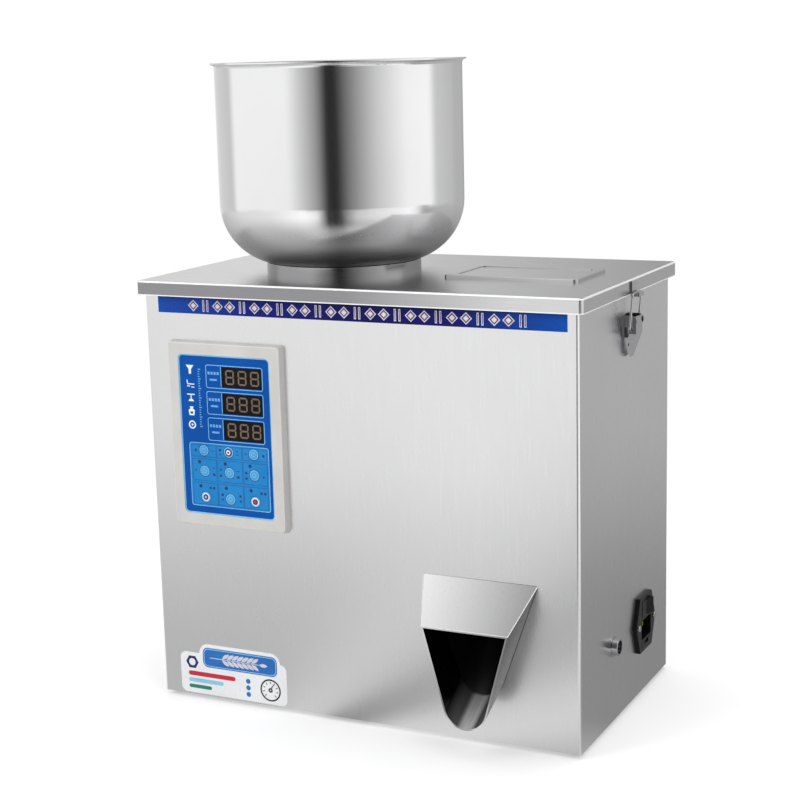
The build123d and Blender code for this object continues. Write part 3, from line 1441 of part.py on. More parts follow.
lever_crown_z = latch_pivot_z + latch_ear_height * 0.4
lever_bend_z = bail_z - bail_bend
tip_back_x = half_width + bail_bend
lever_tip_z = latch_pivot_z - lever_tip_below
with BuildPart() as latch_lever_right:
    with BuildSketch(plane_facing_front(0, -lever_half_width)):
        with BuildLine():
            Polyline(
                (lever_back_x, lever_crown_z),
                (lever_web_x, lever_crown_z),
                (lever_web_x, lever_bend_z),
                (tip_back_x + latch_sheet, lever_tip_z),
                (tip_back_x, lever_tip_z),
                (lever_back_x, lever_bend_z),
                close=True,
            )
        make_face()
    extrude(amount=-2 * lever_half_width)
    with BuildSketch(plane_facing_front(0, -lever_inner)):
        with BuildLine():
            Polyline(
                (lever_back_x - latch_sheet, lever_crown_z),
                (lever_web_x - latch_sheet, lever_crown_z),
                (lever_web_x - latch_sheet, lever_bend_z),
                (tip_back_x, lever_tip_z),
                (tip_back_x - bail_bend, lever_tip_z),
                (lever_back_x - latch_sheet, lever_bend_z),
                close=True,
            )
        make_face()
    extrude(amount=-2 * lever_inner, mode=Mode.SUBTRACT)
    with BuildSketch(plane_facing_right(half_width, 0, 0)):
        for side in (-1, 1):
            with BuildLine():
                Polyline(
                    (side * lever_half_width, lever_bend_z),
                    (side * lever_tip_half, lever_tip_z),
                    (side * lever_half_width, lever_tip_z),
                    close=True,
                )
            make_face()
    extrude(amount=3 * latch_pivot_out, mode=Mode.SUBTRACT)
    with BuildSketch(plane_facing_front(0, -lever_half_width)):
        with Locations((pivot_x, latch_pivot_z)):
            Circle(latch_pin_radius + running_gap)
        with Locations((bail_x, bail_z)):
            Circle(bail_wire + 2 * running_gap)
    extrude(amount=-2 * lever_half_width, mode=Mode.SUBTRACT)
latch_lever_right.part.label = "latch_lever_right"
export_step(latch_lever_right.part, "parts/latch_lever_right.step")

bail_top_x = pivot_x + latch_ear_height * 0.19
with BuildPart() as latch_bail_right:
    with BuildLine() as bail_path:
        FilletPolyline(
            (bail_x, -lever_inner, bail_z),
            (bail_x, -bail_arm_y, bail_z),
            (bail_top_x, -bail_arm_y, bail_top_z),
            (bail_top_x, bail_arm_y, bail_top_z),
            (bail_x, bail_arm_y, bail_z),
            (bail_x, lever_inner, bail_z),
            radius=bail_bend,
        )
    with BuildSketch(Plane(origin=bail_path.line @ 0, z_dir=bail_path.line % 0)):
        Circle(bail_wire)
    sweep(path=bail_path.line)
latch_bail_right.part.label = "latch_bail_right"
export_step(latch_bail_right.part, "parts/latch_bail_right.step")

keeper_x = lid_width / 2
keeper_top_z = lid_top - keeper_drop
keeper_plate_x = keeper_x + latch_sheet
shelf_top_z = bail_top_z - bail_wire - keeper_rest
shelf_bottom_z = shelf_top_z - latch_sheet
keeper_lip_x = bail_top_x + bail_wire + keeper_play
lip_top_z = bail_top_z + keeper_lip
with BuildPart() as keeper_right:
    with BuildSketch(plane_facing_front(0, -keeper_half_width)):
        with BuildLine():
            Polyline(
                (keeper_x, shelf_bottom_z),
                (keeper_lip_x + latch_sheet, shelf_bottom_z),
                (keeper_lip_x + latch_sheet, lip_top_z),
                (keeper_lip_x, lip_top_z),
                (keeper_lip_x, shelf_top_z),
                (keeper_plate_x, shelf_top_z),
                (keeper_plate_x, keeper_top_z),
                (keeper_x, keeper_top_z),
                close=True,
            )
        make_face()
    extrude(amount=-2 * keeper_half_width)
with BuildPart() as latch_keepers:
    add(keeper_right.part)
    mirror(keeper_right.part, about=Plane.YZ)
latch_keepers.part.label = "latch_keepers"
export_step(latch_keepers.part, "parts/latch_keepers.step")

with BuildPart() as pin_right:
    with BuildSketch(plane_facing_front(pivot_x, -ear_outer)):
        with Locations((0, latch_pivot_z)):
            Circle(latch_pin_radius)
    extrude(amount=-2 * ear_outer)
with BuildPart() as latch_pins:
    add(pin_right.part)
    mirror(pin_right.part, about=Plane.YZ)
latch_pins.part.label = "latch_pins"
export_step(latch_pins.part, "parts/latch_pins.step")

# Left-hand latch, a mirror image of the right-hand one
with BuildPart() as latch_base_left:
    mirror(latch_base_right.part, about=Plane.YZ)
latch_base_left.part.label = "latch_base_left"
export_step(latch_base_left.part, "parts/latch_base_left.step")

with BuildPart() as latch_lever_left:
    mirror(latch_lever_right.part, about=Plane.YZ)
latch_lever_left.part.label = "latch_lever_left"
export_step(latch_lever_left.part, "parts/latch_lever_left.step")

with BuildPart() as latch_bail_left:
    mirror(latch_bail_right.part, about=Plane.YZ)
latch_bail_left.part.label = "latch_bail_left"
export_step(latch_bail_left.part, "parts/latch_bail_left.step")
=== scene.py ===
import json
from math import cos, pi, radians, sin, sqrt

import bpy
from mathutils import Matrix, Vector


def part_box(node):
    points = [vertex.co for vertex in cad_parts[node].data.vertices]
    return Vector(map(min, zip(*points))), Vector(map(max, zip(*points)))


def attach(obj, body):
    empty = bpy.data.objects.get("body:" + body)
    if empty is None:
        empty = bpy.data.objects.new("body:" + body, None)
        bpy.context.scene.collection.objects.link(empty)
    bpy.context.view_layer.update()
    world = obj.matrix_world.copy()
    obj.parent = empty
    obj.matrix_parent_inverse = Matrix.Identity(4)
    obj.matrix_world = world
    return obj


# Weighing packing machine: materials, panel marks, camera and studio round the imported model.
# Lengths are in metres in the row frame: +X the machine's right, -Y its front, +Z up.

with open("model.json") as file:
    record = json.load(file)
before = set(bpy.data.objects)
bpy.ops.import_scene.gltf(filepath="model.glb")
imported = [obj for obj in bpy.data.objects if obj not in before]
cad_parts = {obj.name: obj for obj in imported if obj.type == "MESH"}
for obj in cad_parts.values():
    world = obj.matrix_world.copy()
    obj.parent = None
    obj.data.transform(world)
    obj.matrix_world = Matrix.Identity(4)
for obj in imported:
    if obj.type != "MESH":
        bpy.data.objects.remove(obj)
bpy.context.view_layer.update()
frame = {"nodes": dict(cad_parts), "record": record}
nodes = frame["nodes"]
MM = 0.001
bowl_low, bowl_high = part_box("hopper_bowl")
BOWL_AXIS = ((bowl_low.x + bowl_high.x) / 2, (bowl_low.y + bowl_high.y) / 2, 0)


WHITE = [1.0, 1.0, 1.0, 1.0]


def rgb(red, green, blue):
    """A colour given on the usual 0 to 255 scale, as the linear values that shaders take."""
    shares = [value / 255 for value in (red, green, blue)]
    return [s / 12.92 if s <= 0.04045 else ((s + 0.055) / 1.055) ** 2.4 for s in shares] + [1.0]


# Node helpers. A value is a number, a colour or another node's output.


def feed(tree, socket, value):
    """Links an output to a socket, or sets the socket to a number or colour."""
    if isinstance(value, bpy.types.NodeSocket):
        tree.links.new(value, socket)
    else:
        socket.default_value = value


def maths(tree, operation, first, second):
    """One step of arithmetic on two values."""
    node = tree.nodes.new("ShaderNodeMath")
    node.operation = operation
    feed(tree, node.inputs[0], first)
    feed(tree, node.inputs[1], second)
    return node.outputs["Value"]


def vector_maths(tree, operation, first, second):
    """One step of arithmetic on two vectors."""
    node = tree.nodes.new("ShaderNodeVectorMath")
    node.operation = operation
    feed(tree, node.inputs[0], first)
    feed(tree, node.inputs[1], second)
    return node.outputs["Vector"]


def length_of(tree, vector):
    node = tree.nodes.new("ShaderNodeVectorMath")
    node.operation = "LENGTH"
    tree.links.new(vector, node.inputs[0])
    return node.outputs["Value"]


def coordinate(tree, vector, axis):
    node = tree.nodes.new("ShaderNodeSeparateXYZ")
    tree.links.new(vector, node.inputs["Vector"])
    return node.outputs[axis]


def map_range(tree, value, start, end, low, high, interpolation="LINEAR"):
    """Maps start to end onto low to high, held at the ends."""
    node = tree.nodes.new("ShaderNodeMapRange")
    node.interpolation_type = interpolation
    for socket, number in (("From Min", start), ("From Max", end), ("To Min", low), ("To Max", high)):
        node.inputs[socket].default_value = number
    tree.links.new(value, node.inputs["Value"])
    return node.outputs["Result"]


def blend_colours(tree, factor, first, second):
    """A colour between first and second."""
    node = tree.nodes.new("ShaderNodeMix")
    node.data_type = "RGBA"
    tree.links.new(factor, node.inputs["Factor"])
    for socket, colour in zip([s for s in node.inputs if s.type == "RGBA"], (first, second)):
        feed(tree, socket, colour)
    return [s for s in node.outputs if s.type == "RGBA"][0]


def colour_ramp(tree, share, stops):
    """The colour at share of the way through stops, which are places from 0 to 1 with their colours."""
    ramp = tree.nodes.new("ShaderNodeValToRGB")
    tree.links.new(share, ramp.inputs["Fac"])
    elements = ramp.color_ramp.elements
    while len(elements) < len(stops):
        elements.new(0.5)
    for element, (place, colour) in zip(elements, stops):
        element.position = place
        element.color = colour
    return ramp.outputs["Color"]


# Materials


class Look:
    """A principled material with short calls for the texture nodes used here."""

    def __init__(self, name, metallic=0.0, **fixed):
        self.material = bpy.data.materials.new(name)
        self.material.use_nodes = True
        self.tree = self.material.node_tree
        self.shader = self.tree.nodes["Principled BSDF"]
        self.shader.inputs["Metallic"].default_value = metallic
        for socket, value in fixed.items():
            self.shader.inputs[socket.replace("_", " ")].default_value = value
        self.place = self.tree.nodes.new("ShaderNodeTexCoord").outputs["Object"]

    def link(self, source, target):
        self.tree.links.new(source, target)

    def noise(self, scale, stretch=(1, 1, 1), detail=3.0):
        """Soft noise about 0.5; stretch squeezes it along an axis for a brushed or drawn grain."""
        mapping = self.tree.nodes.new("ShaderNodeMapping")
        mapping.inputs["Scale"].default_value = stretch
        self.link(self.place, mapping.inputs["Vector"])
        texture = self.tree.nodes.new("ShaderNodeTexNoise")
        texture.inputs["Scale"].default_value = scale
        texture.inputs["Detail"].default_value = detail
        self.link(mapping.outputs["Vector"], texture.inputs["Vector"])
        return texture.outputs["Fac"]

    def along(self, axis, start, end):
        """0 at start and 1 at end along an axis of the row frame."""
        return self.spread(coordinate(self.tree, self.place, axis), 0.0, 1.0, start, end)

    def distance_from(self, centre):
        """Distance of a point from the upright line through centre."""
        offset = vector_maths(self.tree, "SUBTRACT", self.place, centre)
        return length_of(self.tree, vector_maths(self.tree, "MULTIPLY", offset, (1, 1, 0)))

    def facing(self, axis, sign, start=0.3, end=0.7):
        """1 on faces that look along that axis, 0 on the others."""
        normal = self.tree.nodes.new("ShaderNodeNewGeometry").outputs["True Normal"]
        return self.spread(coordinate(self.tree, normal, axis), 0.0, 1.0, start * sign, end * sign)

    def beside(self, axis, box, edge):
        """1 within edge of a box's two ends along an axis, 0 between them."""
        low, high = (getattr(corner, axis.lower()) for corner in box)
        return self.either(self.along(axis, low + edge, low + 0.9 * edge),
                           self.along(axis, high - edge, high - 0.9 * edge))

    def either(self, first, second):
        """1 where one of the two is."""
        return maths(self.tree, "MAXIMUM", first, second)

    def both(self, first, second):
        """1 where the two are."""
        return maths(self.tree, "MULTIPLY", first, second)

    def spread(self, value, low, high, start=0.3, end=0.7):
        """Maps start to end onto low to high, held at the ends."""
        return map_range(self.tree, value, start, end, low, high)

    def mix(self, factor, first, second):
        return blend_colours(self.tree, factor, first, second)

    def less_metallic(self, place, level):
        """Takes a metal down to level where place is 1, for painted highlights on edges and painted glints.
        """
        self.link(self.mix(place, WHITE, [level, level, level, 1]), self.shader.inputs["Metallic"])

    def finish(self, colour, roughness, height, depth, strength=0.5):
        """Connects colour, roughness and a bump whose full height is depth metres."""
        self.link(colour, self.shader.inputs["Base Color"])
        self.link(roughness, self.shader.inputs["Roughness"])
        bump = self.tree.nodes.new("ShaderNodeBump")
        bump.inputs["Strength"].default_value = strength
        bump.inputs["Distance"].default_value = depth
        self.link(height, bump.inputs["Height"])
        self.link(bump.outputs["Normal"], self.shader.inputs["Normal"])
        return self.material


# How a grain is stretched: drawn upright, drawn along X, or the same every way
UPRIGHT = (1, 1, 0.04)
LENGTHWISE = (0.04, 1, 1)
EVEN = (1, 1, 1)
# Colour of the painted highlight along bent edges
HIGHLIGHT_WHITE = rgb(252, 252, 252)


def steel(name, dark, light, rough, stretch, grain_scale=900.0, depth=0.000006):
    """Sheet steel: a fine drawn grain along the axis that stretch leaves long, over soft tonal clouds."""
    look = Look(name, metallic=1.0)
    clouds = look.noise(7.0)
    grain = look.noise(grain_scale, stretch, 4.0)
    colour = look.mix(look.spread(clouds, 0.0, 1.0), dark, light)
    return look.finish(colour, look.spread(grain, *rough), grain, depth)


def cabinet_steel():
    """Cabinet walls: satin steel with painted shade towards the foot and a painted highlight along the
    upright bends.
    """
    look = Look("satin_cabinet_steel", metallic=1.0)
    grain = look.noise(700.0, UPRIGHT, 4.0)
    clouds = look.spread(look.noise(5.0), 0.0, 1.0)
    upper = look.mix(clouds, rgb(230, 230, 231), rgb(235, 235, 236))
    lower = look.mix(clouds, rgb(220, 220, 221), rgb(225, 225, 226))
    # Painted shade: the walls are a little darker towards the foot.
    colour = look.mix(look.along("Z", 0.22, 0.0), upper, lower)
    # Painted highlight along the upright bends.
    box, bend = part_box("cabinet_shell"), 1.5 * MM
    bend_highlight = look.both(look.beside("X", box, bend), look.beside("Y", box, bend))
    colour = look.mix(bend_highlight, colour, HIGHLIGHT_WHITE)
    return look.finish(colour, look.spread(grain, 0.27, 0.3), grain, 0.000001, 0.35)


def lid_steel():
    """Lid: smoother sheet, with a painted light ring round the collar, painted shade on the skirt towards
    the left and painted highlights along the edges.
    """
    look = Look("satin_lid_steel", metallic=1.0)
    grain = look.noise(800.0, LENGTHWISE, 4.0)
    clouds = look.spread(look.noise(6.0), 0.0, 1.0)
    top = look.mix(clouds, rgb(206, 206, 206), rgb(214, 214, 215))
    # Painted light: a lighter ring on the lid round the bowl's collar.
    collar_light = look.spread(look.distance_from(BOWL_AXIS), 0.0, 1.0, 0.095, 0.07)
    top = look.mix(collar_light, top, rgb(216, 216, 217))
    # Painted shade: the front of the skirt darkens towards the left.
    skirt = look.mix(look.along("X", 0.14, 0.0), rgb(214, 214, 215), rgb(152, 152, 154))
    colour = look.mix(look.facing("Y", -1.0), top, skirt)
    # Painted highlight along the top edges, the skirt's foot and the corners, which are also made less
    # metallic.
    box, edge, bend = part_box("lid"), 1.3 * MM, 1.2 * MM
    low, high = box
    sides = look.either(look.beside("X", box, edge), look.beside("Y", box, edge))
    top_edge = look.both(sides, look.along("Z", high.z - 1.6 * MM, high.z - 1.2 * MM))
    foot_edge = look.along("Z", low.z + 1.0 * MM, low.z + 0.7 * MM)
    corners = look.both(look.beside("X", box, bend), look.beside("Y", box, bend))
    edge_highlight = look.either(look.either(top_edge, foot_edge), corners)
    colour = look.mix(edge_highlight, colour, HIGHLIGHT_WHITE)
    look.less_metallic(edge_highlight, 0.3)
    return look.finish(colour, look.spread(grain, 0.2, 0.27), grain, 0.000003)


def bowl_steel():
    """Bowl: polished steel, duller down its lower curve, with painted shade that darkens the curve."""
    look = Look("polished_bowl_steel", metallic=1.0)
    grain = look.noise(500.0, (1, 1, 0.02), 4.0)
    wall = look.mix(look.spread(look.noise(7.0), 0.0, 1.0), rgb(234, 234, 235), rgb(242, 242, 243))
    curve = look.along("Z", bowl_low.z + 46 * MM, bowl_low.z + 2 * MM)
    # Painted shade: the lower curve darkens towards the collar.
    colour = look.mix(curve, wall, rgb(146, 146, 147))
    dull = look.spread(curve, 0.0, 0.24, 0.0, 0.6)
    rough = maths(look.tree, "ADD", look.spread(grain, 0.11, 0.15), dull)
    return look.finish(colour, rough, grain, 0.000002)


def scoop_steel():
    """Scoop: top plate with painted shade towards its right, dark cheeks of painted shade, and painted
    glints on the bottom of the trough.
    """
    look = Look("pressed_scoop_steel", metallic=1.0)
    low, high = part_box("discharge_scoop")
    grain = look.noise(700.0, UPRIGHT, 4.0)
    # Painted shade: the top plate darkens towards its right.
    plate_shade = look.along("X", low.x + 14 * MM, high.x - 10 * MM)
    plate = look.mix(plate_shade, rgb(240, 240, 240), rgb(158, 158, 159))
    # Painted glints: light streaks on the bottom of the trough, which is also made less metallic.
    glint_streaks = look.spread(look.noise(90.0, (1, 0.05, 0.05), 2.0), 0.0, 1.0, 0.35, 0.65)
    painted_glints = look.mix(glint_streaks, rgb(150, 150, 150), rgb(255, 255, 255))
    bottom = look.along("Z", low.z + 34 * MM, low.z + 16 * MM)
    colour = look.mix(bottom, plate, painted_glints)
    # Painted shade: the faces that look to either side are dark.
    cheek_shade = look.either(look.facing("X", 1.0, 0.15, 0.4), look.facing("X", -1.0, 0.15, 0.4))
    colour = look.mix(cheek_shade, colour, rgb(76, 76, 77))
    look.less_metallic(look.both(bottom, look.facing("Z", 1.0)), 0.05)
    return look.finish(colour, look.spread(grain, 0.2, 0.28), grain, 0.000004)


def plastic(name, dark, light, rough, grain_scale=1600.0, depth=0.00001, **fixed):
    """Moulded plastic, rubber or ink: a fine pebbled grain and a slight drift of colour."""
    look = Look(name, **fixed)
    pebbles = look.noise(grain_scale, detail=2.0)
    drift = look.noise(25.0)
    colour = look.mix(look.spread(drift, 0.0, 1.0), dark, light)
    return look.finish(colour, look.spread(pebbles, *rough), pebbles, depth)


def bezel_plastic():
    """Off-white moulded plastic, with a painted highlight: lighter round the outer edge of its front."""
    look = Look("moulded_off_white", Specular_IOR_Level=0.3)
    pebbles = look.noise(1600.0, detail=2.0)
    face = look.mix(look.spread(look.noise(25.0), 0.0, 1.0), rgb(202, 201, 198), rgb(214, 213, 210))
    # Painted highlight: a lighter band round the outer edge of the front, where the bevel is.
    box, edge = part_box("panel_bezel"), 1.9 * MM
    bevel_highlight = look.either(look.beside("X", box, edge), look.beside("Z", box, edge))
    bevel_highlight = look.both(bevel_highlight, look.facing("Y", -1.0, 0.8, 0.95))
    colour = look.mix(bevel_highlight, face, rgb(244, 244, 242))
    return look.finish(colour, look.spread(pebbles, 0.3, 0.38), pebbles, 0.00001)


def film(name, colours, start, end, rough=(0.22, 0.3)):
    """Printed film whose colour runs along X through the given colours, with a faint surface ripple."""
    look = Look(name, Specular_IOR_Level=0.15)
    stops = [(number / (len(colours) - 1), colour) for number, colour in enumerate(colours)]
    ripple = look.noise(220.0)
    colour = colour_ramp(look.tree, look.along("X", start, end), stops)
    return look.finish(colour, look.spread(ripple, *rough), ripple, 0.00001, 0.3)


def board_green():
    """Circuit board: green solder mask with lighter traces."""
    look = Look("solder_mask_green")
    traces = look.noise(400.0, (1, 1, 0.15), 1.0)
    colour = look.mix(look.spread(traces, 0.0, 1.0, 0.52, 0.56), rgb(20, 74, 46), rgb(46, 112, 70))
    return look.finish(colour, look.spread(traces, 0.35, 0.5), traces, 0.00002)


# One material for each material slot of the record
looks = {
    "sheet_steel": cabinet_steel(),
    "lid_steel": lid_steel(),
    "bowl_steel": bowl_steel(),
    "turned_steel": steel("turned_collar_steel", rgb(156, 156, 157), rgb(188, 188, 189), rough=(0.14, 0.22),
                          stretch=(0.05, 0.05, 1), depth=0.000005),
    "zinc_sheet": steel("zinc_coated_sheet", rgb(158, 162, 166), rgb(190, 194, 198), rough=(0.38, 0.52),
                        stretch=EVEN, grain_scale=160.0, depth=0.00001),
    "foot_rubber": plastic("foot_rubber_black", rgb(26, 26, 27), rgb(38, 38, 39), rough=(0.62, 0.78)),
    "bezel_plastic": bezel_plastic(),
    "overlay_film": plastic("overlay_deep_blue", rgb(2, 76, 160), rgb(4, 84, 170), rough=(0.28, 0.36),
                            grain_scale=900.0, depth=0.000008, Specular_IOR_Level=0.12),
    "key_plastic": plastic("key_light_blue", rgb(58, 150, 212), rgb(80, 168, 224), rough=(0.25, 0.34),
                           grain_scale=900.0, depth=0.000008, Specular_IOR_Level=0.3),
    "display_plastic": plastic("display_smoked_black", rgb(12, 9, 8), rgb(20, 15, 13), rough=(0.16, 0.24),
                               Specular_IOR_Level=0.12),
    "board_green": board_green(),
    "brass_posts": steel("brass_post_metal", rgb(190, 160, 96), rgb(214, 184, 116), rough=(0.25, 0.35),
                         stretch=(1, 0.1, 1)),
    "strip_film": film("strip_navy_film", [rgb(22, 74, 168), rgb(14, 26, 118), rgb(12, 8, 84),
                                           rgb(12, 12, 96), rgb(8, 76, 172)], start=-0.178, end=0.181),
    "sticker_film": plastic("sticker_white_film", rgb(236, 238, 240), rgb(246, 247, 248), rough=(0.25, 0.35),
                            grain_scale=400.0, depth=0.000008),
    "inlet_plastic": plastic("inlet_black_plastic", rgb(12, 12, 13), rgb(20, 20, 21), rough=(0.22, 0.32),
                             Specular_IOR_Level=0.2),
    "bright_metal": steel("nickel_bright_metal", rgb(176, 176, 178), rgb(206, 206, 208), rough=(0.12, 0.2),
                          stretch=EVEN, grain_scale=300.0),
    "feeder_iron": plastic("feeder_painted_iron", rgb(60, 66, 70), rgb(78, 84, 88), rough=(0.45, 0.6),
                           grain_scale=500.0, depth=0.00003),
    "spring_steel": steel("blued_spring_steel", rgb(96, 100, 110), rgb(124, 128, 138), rough=(0.3, 0.4),
                          stretch=(1, 1, 0.1)),
    "alloy": steel("machined_alloy", rgb(196, 198, 202), rgb(214, 216, 220), rough=(0.28, 0.4),
                   stretch=(0.1, 1, 1)),
    "solenoid_case": plastic("solenoid_dark_case", rgb(44, 46, 50), rgb(62, 64, 70), rough=(0.4, 0.52)),
}


def dress(node, material):
    """Gives a CAD node one material all over."""
    node.data.materials.clear()
    node.data.materials.append(material)
    for face in node.data.polygons:
        face.material_index = 0


for row in frame["record"]["subparts"]:
    dress(nodes[row["node"]], looks[row["material_slot"]])
dress(nodes["discharge_scoop"], scoop_steel())
# The inner chute is dark steel: painted shade inside the machine.
dress(nodes["inner_chute"], steel("painted_shade_chute_steel", rgb(66, 66, 68), rgb(88, 88, 90), rough=(0.35, 0.42),
                                  stretch=(1, 1, 0.05), grain_scale=300.0))

# Inks of the printed marks, and the roughness that most of them have
MATT = (0.3, 0.4)
light_mark = plastic("mark_light_blue", rgb(120, 190, 236), rgb(142, 206, 246), MATT)
label_mark = plastic("mark_label_blue", rgb(92, 158, 222), rgb(116, 178, 234), MATT)
white_mark = plastic("mark_white", rgb(226, 236, 246), rgb(238, 246, 252), MATT)
navy_mark = plastic("mark_navy", rgb(10, 34, 92), rgb(16, 44, 108), MATT)
red_mark = plastic("mark_red", rgb(196, 30, 54), rgb(214, 44, 66), MATT)
wine_mark = plastic("mark_wine", rgb(74, 26, 72), rgb(92, 36, 84), MATT)
cell_mark = plastic("mark_cell_blue", rgb(6, 62, 136), rgb(10, 72, 148), MATT)
green_mark = plastic("mark_green", rgb(20, 120, 96), rgb(30, 140, 110), MATT)
sky_mark = plastic("mark_sky", rgb(132, 196, 226), rgb(176, 220, 240), MATT, grain_scale=60.0)
field_mark = plastic("mark_field_blue", rgb(22, 90, 178), rgb(30, 124, 200), MATT, grain_scale=60.0)
black_mark = plastic("mark_black", rgb(14, 14, 16), rgb(24, 24, 26), MATT, Specular_IOR_Level=0.2)
silver_mark = plastic("mark_silver", rgb(204, 202, 214), rgb(228, 226, 236), rough=(0.25, 0.35))
segment_mark = plastic("segment_unlit", rgb(104, 88, 74), rgb(120, 102, 86), rough=(0.35, 0.45))
zone_film = plastic("zone_mid_blue", rgb(20, 124, 194), rgb(34, 138, 208), rough=(0.25, 0.33),
                    grain_scale=900.0, depth=0.000008, Specular_IOR_Level=0.2)


# Flat shapes as closed outlines of (x, z) points


def box_outline(left, bottom, right, top, corner=0.0, steps=6):
    """A rectangle, with round corners if corner is given."""
    if not corner:
        return [(left, bottom), (right, bottom), (right, top), (left, top)]
    centres = [(right - corner, top - corner, 0), (left + corner, top - corner, 90),
               (left + corner, bottom + corner, 180), (right - corner, bottom + corner, 270)]
    return [
        (x + corner * cos(radians(start + 90 * step / steps)),
         z + corner * sin(radians(start + 90 * step / steps)))
        for x, z, start in centres for step in range(steps + 1)
    ]


def disc_outline(x, z, radius, steps=40):
    """A circle, or a polygon if steps are few."""
    return [(x + radius * cos(2 * pi * n / steps), z + radius * sin(2 * pi * n / steps))
            for n in range(steps)]


def band(outer, inner):
    """An outline and the hole in it."""
    return [outer, inner]


def moved(outline, x, z, size=1.0, turn=0.0):
    """The outline scaled, turned by degrees and then moved."""
    c, s = cos(radians(turn)), sin(radians(turn))
    return [(x + size * (a * c - b * s), z + size * (a * s + b * c)) for a, b in outline]


# Thickness of printed ink, and how a shape drawn on X and Y is turned to face the front
INK = 0.04 * MM
FACES_FRONT = Matrix.Rotation(pi / 2, 4, "X")


def add_piece(name, data, material, body):
    """Puts a mesh or curve into the scene as a piece of one material that rides on a body."""
    data.materials.append(material)
    piece = bpy.data.objects.new(name, data)
    bpy.context.scene.collection.objects.link(piece)
    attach(piece, body)


def front_piece(name, outlines, face_y, material, thickness=INK):
    """Thin plates cut to the outlines, standing on a face of the cabinet that looks to the front at face_y.
    An outline inside another is a hole."""
    curve = bpy.data.curves.new(name, "CURVE")
    curve.dimensions = "2D"
    curve.fill_mode = "BOTH"
    curve.extrude = thickness / 2
    for outline in outlines:
        spline = curve.splines.new("POLY")
        spline.points.add(len(outline) - 1)
        for point, (x, z) in zip(spline.points, outline):
            point.co = (x, z, 0, 1)
        spline.use_cyclic_u = True
    drawn = bpy.data.objects.new(name + "_outline", curve)
    bpy.context.scene.collection.objects.link(drawn)
    bpy.context.view_layer.update()
    mesh = bpy.data.meshes.new_from_object(drawn.evaluated_get(bpy.context.evaluated_depsgraph_get()))
    bpy.data.objects.remove(drawn)
    mesh.transform(FACES_FRONT @ Matrix.Translation((0, 0, thickness / 2 - face_y)))
    mesh.name = name
    add_piece(name, mesh, material, "cabinet")


# Control panel marks, placed from the middle of the overlay
overlay_low, overlay_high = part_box("panel_overlay")
panel_x = (overlay_low.x + overlay_high.x) / 2
panel_z = (overlay_low.z + overlay_high.z) / 2
overlay_y = overlay_low.y
KEY_HOLE = 5.0 * MM
KEY_RADIUS = 4.8 * MM
KEY_RISE = 0.7 * MM


def on_panel(outline):
    """Moves an outline drawn in millimetres from the overlay's middle to its place."""
    return moved(outline, panel_x, panel_z, MM)


key_names = [f"key_{number}" for number in range(1, 10)]
key_centres = {}
for key_name in key_names:
    key_low, key_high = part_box(key_name)
    key_centres[key_name] = ((key_low.x + key_high.x) / 2, (key_low.z + key_high.z) / 2, key_low.y)


def key_zone():
    """Lighter blue field round the nine keys, with a light edge, thin cell lines and indicator dots."""
    left, right, top, bottom = -36.2, 39.4, -6.6, -60.6
    field = [on_panel(box_outline(left, bottom, right, top, 2.5))]
    field += [disc_outline(x, z, KEY_HOLE) for x, z, _ in key_centres.values()]
    front_piece("panel_key_field", field, overlay_y, zone_film)
    field_y = overlay_y - INK
    lines = band(on_panel(box_outline(left, bottom, right, top, 2.5)),
                 on_panel(box_outline(left + 0.5, bottom + 0.5, right - 0.5, top - 0.5, 2.1)))
    front_piece("panel_key_field_edge", lines, field_y, light_mark)
    cells = []
    rows = [(-8.3, -18.6), (-20.2, -38.8), (-40.4, -59.0)]
    columns = [(-34.2, -10.6), (-10.1, 14.0), (14.5, 37.6)]
    for row_top, row_bottom in rows:
        for cell_left, cell_right in columns:
            cells += band(on_panel(box_outline(cell_left, row_bottom, cell_right, row_top)),
                          on_panel(box_outline(cell_left + 0.35, row_bottom + 0.35,
                                               cell_right - 0.35, row_top - 0.35)))
    front_piece("panel_key_cells", cells, field_y, cell_mark)
    dots = [on_panel(disc_outline(x, z, 1.5, 20)) for z in (-23.0, -43.6) for x in (-27.0, -2.4, 21.3)]
    front_piece("panel_led_dots", dots, field_y, navy_mark, 2 * INK)


def key_signs():
    """Small generic signs beside the keys: arrows, bars, squares, plus signs and crosses."""
    arrow = [(-1.3, 0), (1.0, 1.3), (1.0, -1.3)]
    bar = box_outline(-1.4, -0.35, 1.4, 0.35)
    plus = [(-1.4, 0.4), (-0.4, 0.4), (-0.4, 1.4), (0.4, 1.4), (0.4, 0.4), (1.4, 0.4),
            (1.4, -0.4), (0.4, -0.4), (0.4, -1.4), (-0.4, -1.4), (-0.4, -0.4), (-1.4, -0.4)]
    square = box_outline(-1.2, -1.2, 1.2, 1.2)
    spots = [(-30.4, -13.2, square, 0), (-13.8, -13.0, bar, 0), (-6.9, -11.6, square, 0),
             (-6.9, -15.2, bar, 0), (9.6, -11.8, bar, 0), (9.6, -14.6, bar, 0),
             (17.6, -13.2, bar, 0), (34.2, -13.6, square, 0),
             (-31.2, -30.2, arrow, 0), (-13.6, -27.4, bar, 0), (-13.4, -33.0, square, 0),
             (-7.0, -28.2, plus, 45), (-7.0, -33.4, square, 0), (9.6, -28.4, bar, 0),
             (9.6, -33.4, square, 0), (17.4, -29.0, square, 0), (17.4, -33.6, square, 0),
             (34.0, -31.4, arrow, 180), (-17.6, -44.6, square, 0), (-14.2, -44.6, square, 0),
             (-6.2, -49.4, square, 0), (-6.2, -53.4, plus, 0), (10.8, -49.4, square, 0),
             (10.8, -53.6, plus, 45), (31.0, -45.2, square, 0), (34.6, -45.2, square, 0)]
    sign_size = 0.85
    signs = [on_panel(moved(shape, x, z, sign_size, turn)) for x, z, shape, turn in spots]
    front_piece("panel_key_signs", signs, overlay_y - INK, navy_mark)


